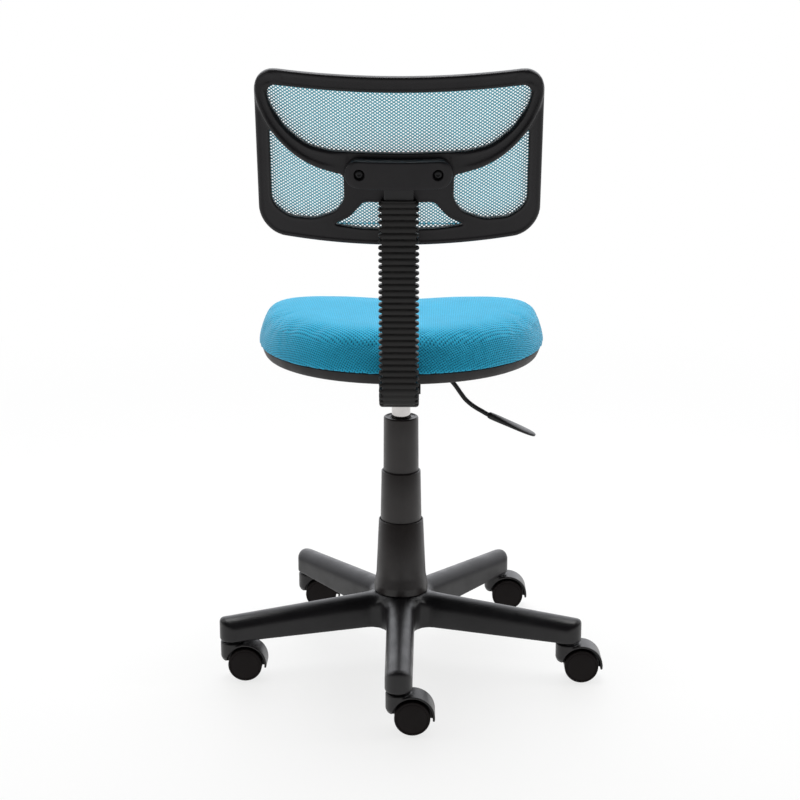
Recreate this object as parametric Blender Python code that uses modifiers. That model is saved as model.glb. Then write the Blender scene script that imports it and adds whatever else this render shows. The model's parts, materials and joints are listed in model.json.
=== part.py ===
"""Swivel task chair: five-legged base on hooded casters, gas lift, seat, J-bar and mesh back.

Metres, +Z up, floor at z = 0, the sitter faces +Y. Heights and reaches below are measured from
the column's axis; the ROOT empty then moves the whole chair so that the middle of its footprint
is the origin.
"""

import bmesh
import bpy
from math import cos, pi, radians, sin, sqrt, tan
from mathutils import Matrix, Vector

# ---------------------------------------------------------------- driving dimensions
GAP = 0.0003                     # left between touching pieces
ROOT = (-0.0157, 0.0250, 0.0)    # column axis, seen from the middle of the footprint

# casters
WHEEL_RADIUS = 0.025
WHEEL_SIDES = 20                 # a flat of the tread lies on the floor
WHEEL_INNER = 0.0071             # inner face, from the caster's middle plane
WHEEL_OUTER = 0.0196             # outer face
TRAIL = 0.0191                   # axle behind the stem
AXLE_RADIUS = 0.003
AXLE_HALF = 0.0176               # inside the wheels' closed outer faces
HOOD_RADIUS = 0.0315
HOOD_SPACE = 0.0284              # room for the wheels inside the hood
HOOD_HALF_WIDTH = 0.018
HOOD_ARC = (-8, 175, 14)         # degrees round the wheel, from the tail to inside the barrel
WEB_HALF_WIDTH = 0.0065
BARREL_RADIUS = 0.0182
BARREL_BOTTOM = 0.028
BARREL_TOP = 0.0572
STEM_RADIUS = 0.0053

# five-star base
LEG_REACH = 0.2617               # column axis to stem axis
LEG_END_RADIUS = 0.0193
LEG_ROOT_HALF = 0.0210
LEG_EDGE = 0.0095                # rounding along the top edges
LEG_BOTTOM = 0.0600
LEG_TIP_TOP = 0.0955
LEG_ROOT_TOP = 0.1090
FILLET = 0.015                   # between neighbouring legs
HUB_RADIUS = 0.0430
HUB_TOP = 0.1100
HUB_BORE = (0.0237, 0.0249)      # tapers out upwards, round the column's foot
LEG_ANGLES = [radians(-90 + 72 * i) for i in range(5)]

# gas lift
TUBE_RADIUS = 0.0246
TUBE_FOOT_RADIUS = 0.0236
TUBE_BOTTOM = 0.048
TUBE_TOP = 0.295
SPINDLE_RADIUS = 0.0140
SPINDLE_BOTTOM = 0.170
SPINDLE_TOP = 0.4505
VALVE_TOP = 0.4555
ROD_RADIUS = 0.0050
COVER_TOPS = (0.2224, 0.2984, 0.3813)

# seat mechanism
BAR_Z = 0.4532                   # middle of the bar under the seat
BAR_HALF_WIDTH = 0.0190
BAR_HALF_THICK = 0.0030
CHANNEL_HALF = 0.0290
CHANNEL_WALL = 0.0025
CHANNEL_Y = (-0.130, 0.085)
FLANGE_HALF = 0.075
SEAT_BOTTOM = 0.4745
FLANGE_TOP = SEAT_BOTTOM - GAP
FLOOR_BOTTOM = BAR_Z - BAR_HALF_THICK - GAP - CHANNEL_WALL
SEAT_BOLTS = [(x, y) for x in (-0.060, 0.060) for y in (-0.085, 0.060)]
BAR_BOLTS = (-0.060, -0.100)
BOLT_RADIUS = 0.003

# lever
LEVER_RADIUS = 0.0034
LEVER_Z = 0.4595
LEVER_ROUTE = [(-0.005, LEVER_Z), (0.037, LEVER_Z), (0.051, 0.4560), (0.064, 0.4465), (0.0785, 0.4305),
               (0.0947, 0.4080), (0.1109, 0.3945), (0.1290, 0.3840), (0.1460, 0.3765)]
PADDLE_STATIONS = [(0.000, 0.0062, 0.0050), (0.014, 0.0080, 0.0052), (0.032, 0.0120, 0.0042),
                   (0.056, 0.0150, 0.0032), (0.071, 0.0125, 0.0027), (0.077, 0.0060, 0.0020)]

# J-bar and bellows
BAR_START_Y = -0.025
BAR_RUN = 0.1676                 # straight under the seat
BAR_BEND = 0.030
BAR_LEAN = radians(3)
BAR_RISE = 0.2270                # straight behind the seat
BACK_TILT = radians(12)
TOP_BEND = 0.150
BAR_END = 0.048                  # straight into the bracket
BELLOWS_FROM = 0.110             # along the bar
BELLOWS_SHORT = 0.0465           # of the bar's top end
BELLOWS_PITCH = 0.0082
BELLOWS_HALF_WIDTH = 0.0232
BELLOWS_RIB = 0.0042
BELLOWS_HALF_DEPTH = 0.0062

# back
BACK_HALF = 0.188
BACK_HEIGHT = 0.2243
BACK_CURVE = 0.335               # radius of the sideways curve
BACK_THICK = 0.010
BRACKET_T = 0.1244               # middle of the bracket, down from the top edge
BRACKET_HALF = 0.0695
BRACKET_HALF_HEIGHT = 0.0187
BRACKET_CORNER = 0.0175
BRACKET_THICK = 0.0160
BAR_INSERT_T = 0.112             # top end of the bar
SCREW_X = 0.0506
SCREW_T = 0.1236
RECESS_RADIUS = 0.0070

# seat
SEAT_CENTRE_Y = 0.035
SEAT_HALF = 0.2065
SEAT_REAR = 0.2295
SEAT_FRONT = 0.168
RIM_TOP = 0.4905
CUSHION_TOP = 0.5460


# ---------------------------------------------------------------- scene and materials
def clear_scene():
    for item in list(bpy.data.objects):
        bpy.data.objects.remove(item, do_unlink=True)


def new_collection(name):
    group = bpy.data.collections.new(name)
    bpy.context.scene.collection.children.link(group)
    return group


def new_material(name, colour, roughness, metallic=0.0):
    mat = bpy.data.materials.new(name)
    mat.use_nodes = True
    shader = mat.node_tree.nodes["Principled BSDF"]
    shader.inputs["Base Color"].default_value = (*colour, 1.0)
    shader.inputs["Roughness"].default_value = roughness
    shader.inputs["Metallic"].default_value = metallic
    mat.diffuse_color = (*colour, 1.0)
    return mat


clear_scene()
PARTS = new_collection("swivel_office_chair")
CUTTERS = new_collection("cutters")

NYLON = new_material("black_nylon", (0.022, 0.022, 0.024), 0.42)
PLASTIC = new_material("black_plastic", (0.018, 0.018, 0.020), 0.50)
TREAD = new_material("wheel_plastic", (0.012, 0.010, 0.010), 0.55)
STEEL = new_material("black_steel", (0.030, 0.030, 0.032), 0.45, 0.6)
BRIGHT = new_material("bright_steel", (0.60, 0.60, 0.62), 0.30, 1.0)
CHROME = new_material("chrome", (0.80, 0.80, 0.82), 0.08, 1.0)
RUBBER = new_material("bellows_rubber", (0.015, 0.015, 0.016), 0.60)
PLY = new_material("plywood", (0.55, 0.40, 0.24), 0.65)
FABRIC = new_material("turquoise_fabric", (0.03, 0.33, 0.42), 0.85)
MESH = new_material("blue_mesh", (0.22, 0.55, 0.66), 0.70)


def new_empty(name, place, parent=None):
    item = bpy.data.objects.new(name, None)
    item.empty_display_size = 0.03
    PARTS.objects.link(item)
    item.location = place
    if parent:
        adopt(item, parent)
    bpy.context.view_layer.update()
    return item


def adopt(child, parent):
    """Parent without moving the child."""
    bpy.context.view_layer.update()
    child.parent = parent
    child.matrix_parent_inverse = parent.matrix_world.inverted()


def add_part(name, mesh, material, parent, place=Matrix.Identity(4)):
    item = bpy.data.objects.new(name, mesh)
    if not mesh.materials:
        mesh.materials.append(material)
    mesh.shade_smooth()
    mesh.set_sharp_from_angle(angle=radians(35))
    PARTS.objects.link(item)
    item.matrix_world = place
    adopt(item, parent)
    return item


def add_tool(name, mesh, parent, place=Matrix.Identity(4)):
    """A cutter or guide: it shapes other pieces and isn't one itself."""
    item = bpy.data.objects.new(name, mesh)
    CUTTERS.objects.link(item)
    item.hide_render = True
    item.display_type = "WIRE"
    item.matrix_world = place
    adopt(item, parent)
    return item


def combine(target, tool, operation):
    mod = target.modifiers.new(tool.name, "BOOLEAN")
    mod.object = tool
    mod.operation = operation
    mod.solver = "EXACT"


def baked(item):
    """The evaluated mesh of an object, which is then removed."""
    graph = bpy.context.evaluated_depsgraph_get()
    mesh = bpy.data.meshes.new_from_object(item.evaluated_get(graph))
    bpy.data.objects.remove(item, do_unlink=True)
    return mesh


def finish_mesh(bm, name):
    bmesh.ops.recalc_face_normals(bm, faces=bm.faces)
    mesh = bpy.data.meshes.new(name)
    bm.to_mesh(mesh)
    bm.free()
    return mesh


# ---------------------------------------------------------------- shapes
def box_mesh(size, centre=(0, 0, 0)):
    bm = bmesh.new()
    bmesh.ops.create_cube(bm, size=1.0)
    bmesh.ops.scale(bm, vec=size, verts=bm.verts)
    bmesh.ops.translate(bm, vec=centre, verts=bm.verts)
    return finish_mesh(bm, "box")


def rod_mesh(radius, start, end, sides=12, end_radius=None):
    """A cylinder or cone between two points."""
    start, end = Vector(start), Vector(end)
    along = end - start
    bm = bmesh.new()
    bmesh.ops.create_cone(bm, cap_ends=True, segments=sides, radius1=radius,
                          radius2=radius if end_radius is None else end_radius, depth=along.length)
    turn = along.to_track_quat("Z", "Y").to_matrix().to_4x4()
    bmesh.ops.transform(bm, matrix=Matrix.Translation((start + end) / 2) @ turn, verts=bm.verts)
    return finish_mesh(bm, "rod")


def turned_mesh(profile, sides=24, closed=True):
    """A profile of (radius, height) spun round Z: down the outside, then up the inside."""
    mesh = bpy.data.meshes.new("turned")
    count = len(profile)
    edges = [(i, (i + 1) % count) for i in range(count if closed else count - 1)]
    mesh.from_pydata([(r, 0, z) for r, z in profile], edges, [])
    item = bpy.data.objects.new("turned", mesh)
    bpy.context.scene.collection.objects.link(item)
    mod = item.modifiers.new("spin", "SCREW")
    mod.angle = 2 * pi
    mod.steps = mod.render_steps = sides
    mod.use_merge_vertices = True
    mod.merge_threshold = 0.00001
    return baked(item)


def loft_mesh(rings, closed=False):
    """A skin through rings of equal point count, capped unless it closes on itself."""
    bm = bmesh.new()
    rows = [[bm.verts.new(p) for p in ring] for ring in rings]
    size = len(rows[0])
    pairs = list(zip(rows, rows[1:]))
    if closed:
        pairs.append((rows[-1], rows[0]))
    for low, high in pairs:
        for i in range(size):
            j = (i + 1) % size
            bm.faces.new((low[i], low[j], high[j], high[i]))
    if not closed:
        bm.faces.new(rows[0])
        bm.faces.new(rows[-1])
    return finish_mesh(bm, "loft")


def rounded_outline(corners, steps=3):
    """A closed outline through (x, y, radius) corners, each rounded with an arc."""
    points = []
    count = len(corners)
    for i, (x, y, radius) in enumerate(corners):
        here = Vector((x, y))
        back = (Vector(corners[i - 1][:2]) - here).normalized()
        ahead = (Vector(corners[(i + 1) % count][:2]) - here).normalized()
        if radius == 0:
            points.append(here)
            continue
        half = back.angle(ahead) / 2
        middle = here + (back + ahead).normalized() * radius / sin(half)
        first = here + back * radius / tan(half) - middle
        last = here + ahead * radius / tan(half) - middle
        sweep = first.angle_signed(last)
        for step in range(steps + 1):
            turn = Matrix.Rotation(-sweep * step / steps, 2)
            points.append(middle + turn @ first)
    return points


def outline_mesh(points, low, high):
    """A flat outline as a solid between two heights."""
    curve = bpy.data.curves.new("outline", "CURVE")
    curve.dimensions = "2D"
    curve.fill_mode = "BOTH"
    curve.extrude = (high - low) / 2
    spline = curve.splines.new("POLY")
    spline.points.add(len(points) - 1)
    for point, place in zip(spline.points, points):
        point.co = (place[0], place[1], 0, 1)
    spline.use_cyclic_u = True
    item = bpy.data.objects.new("outline", curve)
    bpy.context.scene.collection.objects.link(item)
    mesh = baked(item)
    bm = bmesh.new()
    bm.from_mesh(mesh)
    bmesh.ops.remove_doubles(bm, verts=bm.verts, dist=0.00001)
    bmesh.ops.translate(bm, vec=(0, 0, (low + high) / 2), verts=bm.verts)
    return finish_mesh(bm, "outline")


def chamfered_ring(half_width, half_depth, cut):
    """Eight points of a rectangle with cut corners."""
    corners = []
    for sx, sy in ((1, 1), (-1, 1), (-1, -1), (1, -1)):
        a = (sx * half_width, sy * (half_depth - cut))
        b = (sx * (half_width - cut), sy * half_depth)
        corners += [a, b] if sx * sy > 0 else [b, a]
    return corners


# ---------------------------------------------------------------- five-star base
def leg_half_width(reach):
    """Half the leg's width, with the fillet to its neighbour and the round end."""
    tip = LEG_REACH
    if reach > tip:
        return sqrt(max(LEG_END_RADIUS**2 - (reach - tip)**2, 0))
    straight = LEG_ROOT_HALF + (LEG_END_RADIUS - LEG_ROOT_HALF) * reach / tip
    middle = (LEG_ROOT_HALF + FILLET) / tan(radians(36))
    if reach >= middle:
        return straight
    return straight + FILLET - sqrt(max(FILLET**2 - (reach - middle)**2, 0))


def leg_top(reach):
    rise = (LEG_TIP_TOP - LEG_ROOT_TOP) / (LEG_REACH - 0.05)
    height = LEG_ROOT_TOP + rise * (reach - 0.05)
    into_edge = reach - (LEG_REACH + LEG_END_RADIUS - LEG_EDGE)
    if into_edge > 0:
        height -= LEG_EDGE - sqrt(max(LEG_EDGE**2 - into_edge**2, 0))
    return height


def leg_ring(reach):
    """One cross-section of a leg that points along +X."""
    half, top = leg_half_width(reach), leg_top(reach)
    edge = min(LEG_EDGE, half * 0.9)
    side = []
    for step in range(4):
        turn = radians(30 * step)
        side.append((half - edge * (1 - cos(turn)), top - LEG_EDGE * (1 - sin(turn))))
    right = [(reach, y, z) for y, z in [(half, LEG_BOTTOM)] + side]
    left = [(reach, -y, z) for _, y, z in reversed(right)]
    return right + left


def leg_reaches():
    fillet_end = (LEG_ROOT_HALF + FILLET) / tan(radians(36))
    root = [0.0, 0.030, 0.038, 0.043, fillet_end, 0.160, LEG_REACH]
    end = [LEG_REACH + LEG_END_RADIUS * sin(radians(a)) for a in (25, 45, 62, 76, 86)]
    return root + end


def make_base(root):
    leg = loft_mesh([leg_ring(r) for r in leg_reaches()])
    base = None
    for i, angle in enumerate(LEG_ANGLES):
        turn = Matrix.Rotation(angle, 4, "Z")
        if base is None:
            base = add_part("star_base", leg.copy(), NYLON, root, turn)
        else:
            combine(base, add_tool(f"leg_{i + 1}", leg, root, turn), "UNION")
    hub = turned_mesh([(0, HUB_TOP), (HUB_RADIUS - 0.003, HUB_TOP), (HUB_RADIUS, HUB_TOP - 0.003),
                       (HUB_RADIUS, 0.0565), (HUB_RADIUS - 0.002, 0.0545), (0, 0.0545)], 30, closed=False)
    combine(base, add_tool("hub", hub, root), "UNION")
    bore = rod_mesh(HUB_BORE[0], (0, 0, 0.040), (0, 0, 0.125), 24, HUB_BORE[1])
    combine(base, add_tool("hub_bore", bore, root), "DIFFERENCE")
    for angle in LEG_ANGLES:
        cut_leg(base, root, Matrix.Rotation(angle, 4, "Z"))


def cut_leg(base, root, turn):
    """The stem's socket and the hollows between the ribs under one leg."""
    socket = rod_mesh(STEM_RADIUS + 0.0003, (LEG_REACH, 0, 0.05), (LEG_REACH, 0, 0.088), 10)
    combine(base, add_tool("stem_socket", socket, root, turn), "DIFFERENCE")
    for start, end in ((0.055, 0.110), (0.114, 0.170), (0.174, 0.240)):
        roof = leg_top(end) - 0.005
        low = [(x, s * (leg_half_width(end) - 0.0035), 0.055) for x, s in hollow_corners(start, end)]
        high = [(x, s * (leg_half_width(end) - 0.0095), roof) for x, s in hollow_corners(start, end)]
        hollow = add_tool("rib_hollow", loft_mesh([low, high]), root, turn)
        combine(base, hollow, "DIFFERENCE")


def hollow_corners(start, end):
    return ((start, -1), (end, -1), (end, 1), (start, 1))


# ---------------------------------------------------------------- casters
def housing_mesh():
    """Barrel and hood, round the stem at x = 0, with room for two wheels."""
    arc = [radians(a) for a in range(*HOOD_ARC)]
    outer = [(TRAIL + HOOD_RADIUS * cos(a), WHEEL_RADIUS + HOOD_RADIUS * sin(a)) for a in arc]
    below = WHEEL_RADIUS - 0.0045
    inner = [(TRAIL - 0.004, below), (TRAIL + HOOD_SPACE - 0.004, below)]
    lying = Matrix.Rotation(pi / 2, 4, "X")
    holder = new_empty("shaping", (0, 0, 0))
    hood = outline_mesh(inner + outer, -HOOD_HALF_WIDTH, HOOD_HALF_WIDTH)
    body = add_part("housing", hood, PLASTIC, holder, lying)
    barrel = rod_mesh(BARREL_RADIUS, (0, 0, BARREL_BOTTOM), (0, 0, BARREL_TOP), 20)
    combine(body, add_tool("barrel", barrel, holder), "UNION")
    for side in (-1, 1):
        low, high = sorted((side * WEB_HALF_WIDTH, side * 0.030))
        space = rod_mesh(HOOD_SPACE, (TRAIL, low, WHEEL_RADIUS), (TRAIL, high, WHEEL_RADIUS), 24)
        combine(body, add_tool("wheel_space", space, holder), "DIFFERENCE")
    crown = box_mesh((0.08, 0.08, 0.02), (0, 0, BARREL_TOP + 0.01 + GAP))
    combine(body, add_tool("crown", crown, holder), "DIFFERENCE")
    bore = rod_mesh(0.0042, (0, 0, 0.033), (0, 0, 0.07), 10)
    combine(body, add_tool("stem_bore", bore, holder), "DIFFERENCE")
    axle = rod_mesh(AXLE_RADIUS + GAP, (TRAIL, -0.03, WHEEL_RADIUS), (TRAIL, 0.03, WHEEL_RADIUS), 12)
    combine(body, add_tool("axle_bore", axle, holder), "DIFFERENCE")
    mesh = baked(body)
    mesh.transform(lying)
    for item in [*holder.children, holder]:
        bpy.data.objects.remove(item, do_unlink=True)
    return mesh


def wheel_mesh():
    """A wheel round Z, inner face down, whose tread flats lie at the wheel's radius."""
    corner = WHEEL_RADIUS / cos(pi / WHEEL_SIDES)
    wide = WHEEL_OUTER - WHEEL_INNER
    bore, deep = AXLE_RADIUS + GAP, AXLE_HALF - WHEEL_INNER + GAP
    return turned_mesh([(0, wide), (corner - 0.0018, wide), (corner, wide - 0.0018), (corner, 0), (bore, 0),
                        (bore, deep), (0, deep)], WHEEL_SIDES, closed=False)


def stem_mesh():
    return turned_mesh([(0, 0.0870), (STEM_RADIUS - 0.001, 0.0870), (STEM_RADIUS, 0.0860),
                        (STEM_RADIUS, 0.0590), (0.0095, 0.0590), (0.0095, 0.0577), (0.0038, 0.0577),
                        (0.0038, 0.0335), (0, 0.0335)], 10, closed=False)


def make_casters(root):
    housing, wheel, stem = housing_mesh(), wheel_mesh(), stem_mesh()
    axle = rod_mesh(AXLE_RADIUS, (0, -AXLE_HALF, 0), (0, AXLE_HALF, 0), 12)
    for number, angle in enumerate(LEG_ANGLES, 1):
        place = Vector((LEG_REACH * cos(angle), LEG_REACH * sin(angle), 0))
        pivot = new_empty(f"caster_{number}_pivot", place, root)
        here = Matrix.Translation(place)
        centre = Matrix.Translation(place + Vector((TRAIL, 0, WHEEL_RADIUS)))
        add_part(f"caster_{number}_housing", housing, PLASTIC, pivot, here)
        add_part(f"caster_{number}_stem", stem, BRIGHT, pivot, here)
        add_part(f"caster_{number}_axle", axle, BRIGHT, pivot, centre)
        for name, side in (("near", 1), ("far", -1)):
            lying = Matrix.Rotation(pi / WHEEL_SIDES, 4, "Y") @ Matrix.Rotation(side * pi / 2, 4, "X")
            shift = Matrix.Translation((0, -side * WHEEL_INNER, 0))
            add_part(f"caster_{number}_wheel_{name}", wheel, TREAD, pivot, centre @ shift @ lying)


# ---------------------------------------------------------------- gas lift and its cover
def make_column(root, seat):
    tube = turned_mesh([(TUBE_RADIUS, TUBE_TOP), (TUBE_RADIUS, 0.120), (TUBE_FOOT_RADIUS, TUBE_BOTTOM),
                        (0.0062, TUBE_BOTTOM), (0.0062, TUBE_BOTTOM + 0.003), (0.0222, TUBE_BOTTOM + 0.003),
                        (0.0232, 0.120), (0.0232, TUBE_TOP)])
    add_part("column_tube", tube, STEEL, root)
    bush = turned_mesh([(0.0229, TUBE_TOP - GAP), (0.0229, 0.195), (SPINDLE_RADIUS + 0.0002, 0.195),
                        (SPINDLE_RADIUS + 0.0002, TUBE_TOP - GAP)])
    add_part("guide_bush", bush, PLASTIC, root)
    ring = turned_mesh([(0.0130, 0.0573), (0.0130, 0.0513), (0.0056, 0.0513), (0.0056, 0.0573)], 16)
    add_part("thrust_bearing", ring, BRIGHT, root)
    rod = turned_mesh([(0, 0.200), (0.0113, 0.200), (0.0113, 0.192), (ROD_RADIUS, 0.192),
                       (ROD_RADIUS, 0.0600), (0.0098, 0.0600), (0.0098, 0.0576), (ROD_RADIUS, 0.0576),
                       (ROD_RADIUS, 0.0476),
                       (0.0040, 0.0476), (0.0040, 0.0446), (ROD_RADIUS, 0.0446), (ROD_RADIUS, 0.0425),
                       (0, 0.0425)], 12, closed=False)
    add_part("piston_rod", rod, BRIGHT, root)
    clip = turned_mesh([(0.0088, 0.0473), (0.0088, 0.0449), (0.0043, 0.0449), (0.0043, 0.0473)], 12)
    add_part("retaining_clip", clip, BRIGHT, root)
    spindle = turned_mesh([(0.0133, SPINDLE_TOP), (SPINDLE_RADIUS, 0.4130), (SPINDLE_RADIUS, SPINDLE_BOTTOM),
                           (0.0120, SPINDLE_BOTTOM), (0.0120, 0.398), (0.0034, 0.398), (0.0034, SPINDLE_TOP)])
    add_part("gas_spindle", spindle, CHROME, seat)
    seal = turned_mesh([(0.0117, 0.1830), (0.0117, 0.1710), (ROD_RADIUS + 0.0002, 0.1710),
                        (ROD_RADIUS + 0.0002, 0.1830)], 16)
    add_part("rod_seal", seal, RUBBER, seat)


def make_covers(root):
    low, middle, top = COVER_TOPS
    profiles = {
        "cover_bottom": [(0.0335, low), (0.0375, 0.1350), (0.0405, 0.1190), (0.0405, 0.1105),
                         (0.0385, 0.1105), (0.0385, 0.1180), (0.0355, 0.1340), (0.0325, low - 0.003),
                         (0.0319, low)],
        "cover_middle": [(0.0293, middle), (0.0313, middle - 0.096), (0.0298, middle - 0.096),
                         (0.0279, middle - 0.003), (0.0270, middle)],
        "cover_top": [(0.0258, top), (0.0265, top - 0.103), (0.0253, top - 0.103), (0.02505, top - 0.002),
                      (0.0150, top - 0.002), (0.0150, top)],
    }
    for name, profile in profiles.items():
        add_part(name, turned_mesh(profile), PLASTIC, root)


# ---------------------------------------------------------------- seat mechanism and lever
def make_mechanism(seat):
    wall, half = CHANNEL_WALL, CHANNEL_HALF
    low, high = FLOOR_BOTTOM, FLANGE_TOP
    outline = mirrored([(half - wall, low + wall), (half - wall, high), (FLANGE_HALF, high),
                        (FLANGE_HALF, high - wall), (half, high - wall), (half, low)])
    standing = Matrix.Translation((0, CHANNEL_Y[1], 0)) @ Matrix.Rotation(pi / 2, 4, "X")
    channel = outline_mesh(outline, 0, CHANNEL_Y[1] - CHANNEL_Y[0])
    plate = add_part("mechanism_plate", channel, STEEL, seat, standing)
    spindle_hole = rod_mesh(0.0147, (0, 0, low - 0.01), (0, 0, low + 0.01), 20)
    combine(plate, add_tool("spindle_hole", spindle_hole, seat), "DIFFERENCE")
    lever_hole = rod_mesh(0.0062, (0.020, 0, LEVER_Z), (0.040, 0, LEVER_Z), 12)
    combine(plate, add_tool("lever_hole", lever_hole, seat), "DIFFERENCE")
    for x, y in SEAT_BOLTS:
        hole = rod_mesh(BOLT_RADIUS + GAP, (x, y, high - 0.02), (x, y, high + 0.01), 10)
        combine(plate, add_tool("seat_bolt_hole", hole, seat), "DIFFERENCE")
    for y in BAR_BOLTS:
        hole = rod_mesh(0.0043, (0, y, low - 0.01), (0, y, low + 0.01), 10)
        combine(plate, add_tool("bar_bolt_hole", hole, seat), "DIFFERENCE")
    socket = turned_mesh([(0.0178, low - GAP), (0.0195, low - 0.006), (0.0180, 0.4160), (0.01425, 0.4160),
                          (0.0138, low - GAP)], 20)
    add_part("taper_socket", socket, STEEL, seat)


def make_bolts(seat):
    for number, (x, y) in enumerate(SEAT_BOLTS, 1):
        head = FLANGE_TOP - CHANNEL_WALL - GAP
        bolt = turned_mesh([(0, 0.4860), (BOLT_RADIUS, 0.4860), (BOLT_RADIUS, head), (0.0062, head),
                            (0.0062, head - 0.004), (0, head - 0.004)], 10, closed=False)
        add_part(f"seat_bolt_{number}", bolt, BRIGHT, seat, Matrix.Translation((x, y, 0)))
    for name, y in zip(("front", "rear"), BAR_BOLTS):
        head = FLOOR_BOTTOM - GAP
        bolt = turned_mesh([(0, 0.4590), (0.0040, 0.4590), (0.0040, head), (0.0065, head),
                            (0.0065, head - 0.0055), (0, head - 0.0055)], 10, closed=False)
        add_part(f"bar_bolt_{name}", bolt, BRIGHT, seat, Matrix.Translation((0, y, 0)))


def make_valve(seat):
    button = turned_mesh([(0, VALVE_TOP), (0.0045, VALVE_TOP), (0.0045, VALVE_TOP - 0.0022),
                          (0.0031, VALVE_TOP - 0.0022), (0.0031, 0.408), (0, 0.408)], 12, closed=False)
    add_part("valve_button", button, BRIGHT, seat)
    bush = turned_mesh([(0.0080, 0.0045), (0.0080, 0.0018), (0.0059, 0.0018), (0.0059, -0.0025),
                        (LEVER_RADIUS + 0.0009, -0.0025), (LEVER_RADIUS + 0.0009, 0.0045)], 14)
    sideways = Matrix.Translation((CHANNEL_HALF - 0.0015, 0, LEVER_Z)) @ Matrix.Rotation(pi / 2, 4, "Y")
    add_part("lever_bush", bush, PLASTIC, seat, sideways)


def wire_mesh(route, radius):
    """A bent round rod through (x, z) points."""
    wire = bpy.data.curves.new("wire", "CURVE")
    wire.dimensions = "3D"
    wire.bevel_depth = radius
    wire.bevel_resolution = 1
    wire.use_fill_caps = True
    spline = wire.splines.new("POLY")
    spline.points.add(len(route) - 1)
    for point, (x, z) in zip(spline.points, route):
        point.co = (x, 0, z, 1)
    item = bpy.data.objects.new("wire", wire)
    bpy.context.scene.collection.objects.link(item)
    mesh = baked(item)
    bm = bmesh.new()
    bm.from_mesh(mesh)
    bmesh.ops.remove_doubles(bm, verts=bm.verts, dist=0.00001)
    return finish_mesh(bm, "wire")


def make_lever(pivot):
    add_part("lever_rod", wire_mesh(LEVER_ROUTE, LEVER_RADIUS), STEEL, pivot)
    neck, end = (Vector((x, 0, z)) for x, z in LEVER_ROUTE[-2:])
    along = (end - neck).normalized()
    up = Vector((-along.z, 0, along.x))
    rings = []
    for reach, half_width, half_thick in PADDLE_STATIONS:
        middle = neck + along * reach
        ring = chamfered_ring(half_width, half_thick, min(half_thick * 0.6, 0.0025))
        rings.append([middle + Vector((0, a, 0)) + up * b for a, b in ring])
    paddle = add_part("lever_paddle", loft_mesh(rings), PLASTIC, pivot)
    bore = rod_mesh(LEVER_RADIUS + 0.0005, neck - along * 0.01, end + along * 0.001, 12)
    combine(paddle, add_tool("paddle_bore", bore, pivot), "DIFFERENCE")


# ---------------------------------------------------------------- J-bar and bellows
def bar_segments():
    """Length, start heading and end heading of each stretch; a heading of pi runs along -Y."""
    upright, tilted = pi / 2 + BAR_LEAN, pi / 2 + BACK_TILT
    return [(BAR_RUN, pi, pi), (BAR_BEND * (pi - upright), pi, upright), (BAR_RISE, upright, upright),
            (TOP_BEND * (tilted - upright), upright, tilted), (BAR_END, tilted, tilted)]


def bar_point(distance):
    """Place (y, z) and heading at a distance along the bar from its front end."""
    y, z = BAR_START_Y, BAR_Z
    left = distance
    segments = bar_segments()
    for number, (length, start, end) in enumerate(segments):
        part = left if number == len(segments) - 1 else min(left, length)
        if start == end:
            y += part * cos(start)
            z += part * sin(start)
            heading = start
        else:
            radius = length / (end - start)
            heading = start + part / radius
            y += radius * (sin(heading) - sin(start))
            z -= radius * (cos(heading) - cos(start))
        left -= part
        if left <= 0:
            break
    return y, z, heading


def bar_ring(distance, outline):
    y, z, heading = bar_point(distance)
    normal = (-sin(heading), cos(heading))
    return [(a, y + b * normal[0], z + b * normal[1]) for a, b in outline]


BAR_LENGTH = sum(length for length, _, _ in bar_segments())


def bar_stops():
    """Distances along the bar that follow its bends closely."""
    stops, done = [0.0], 0.0
    for length, start, end in bar_segments():
        pieces = max(1, round(abs(end - start) / radians(11)))
        stops += [done + length * (i + 1) / pieces for i in range(pieces)]
        done += length
    return stops


def make_bar(seat):
    flat = chamfered_ring(BAR_HALF_WIDTH, BAR_HALF_THICK, 0.0007)
    bar = add_part("j_bar", loft_mesh([bar_ring(s, flat) for s in bar_stops()]), STEEL, seat)
    for y in BAR_BOLTS:
        hole = rod_mesh(0.0043, (0, y, BAR_Z - 0.01), (0, y, BAR_Z + 0.01), 10)
        combine(bar, add_tool("bar_hole", hole, seat), "DIFFERENCE")


def make_bellows(seat):
    last = BAR_LENGTH - BELLOWS_SHORT
    count = round((last - BELLOWS_FROM) / BELLOWS_PITCH)
    pitch = (last - BELLOWS_FROM) / count
    valley = chamfered_ring(BELLOWS_HALF_WIDTH, BELLOWS_HALF_DEPTH, 0.003)
    crest = chamfered_ring(BELLOWS_HALF_WIDTH + BELLOWS_RIB, BELLOWS_HALF_DEPTH + 0.0016, 0.004)
    lining = chamfered_ring(BAR_HALF_WIDTH + 0.0015, BAR_HALF_THICK + 0.0010, 0.0010)
    outer = [bar_ring(BELLOWS_FROM, valley)]
    for rib in range(count):
        outer.append(bar_ring(BELLOWS_FROM + (rib + 0.5) * pitch, crest))
        outer.append(bar_ring(BELLOWS_FROM + (rib + 1) * pitch, valley))
    between = [s for s in bar_stops() if BELLOWS_FROM + 0.001 < s < last - 0.001]
    inner = [bar_ring(s, lining) for s in [last] + between[::-1] + [BELLOWS_FROM]]
    add_part("bellows", loft_mesh(outer + inner, closed=True), RUBBER, seat)


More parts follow.
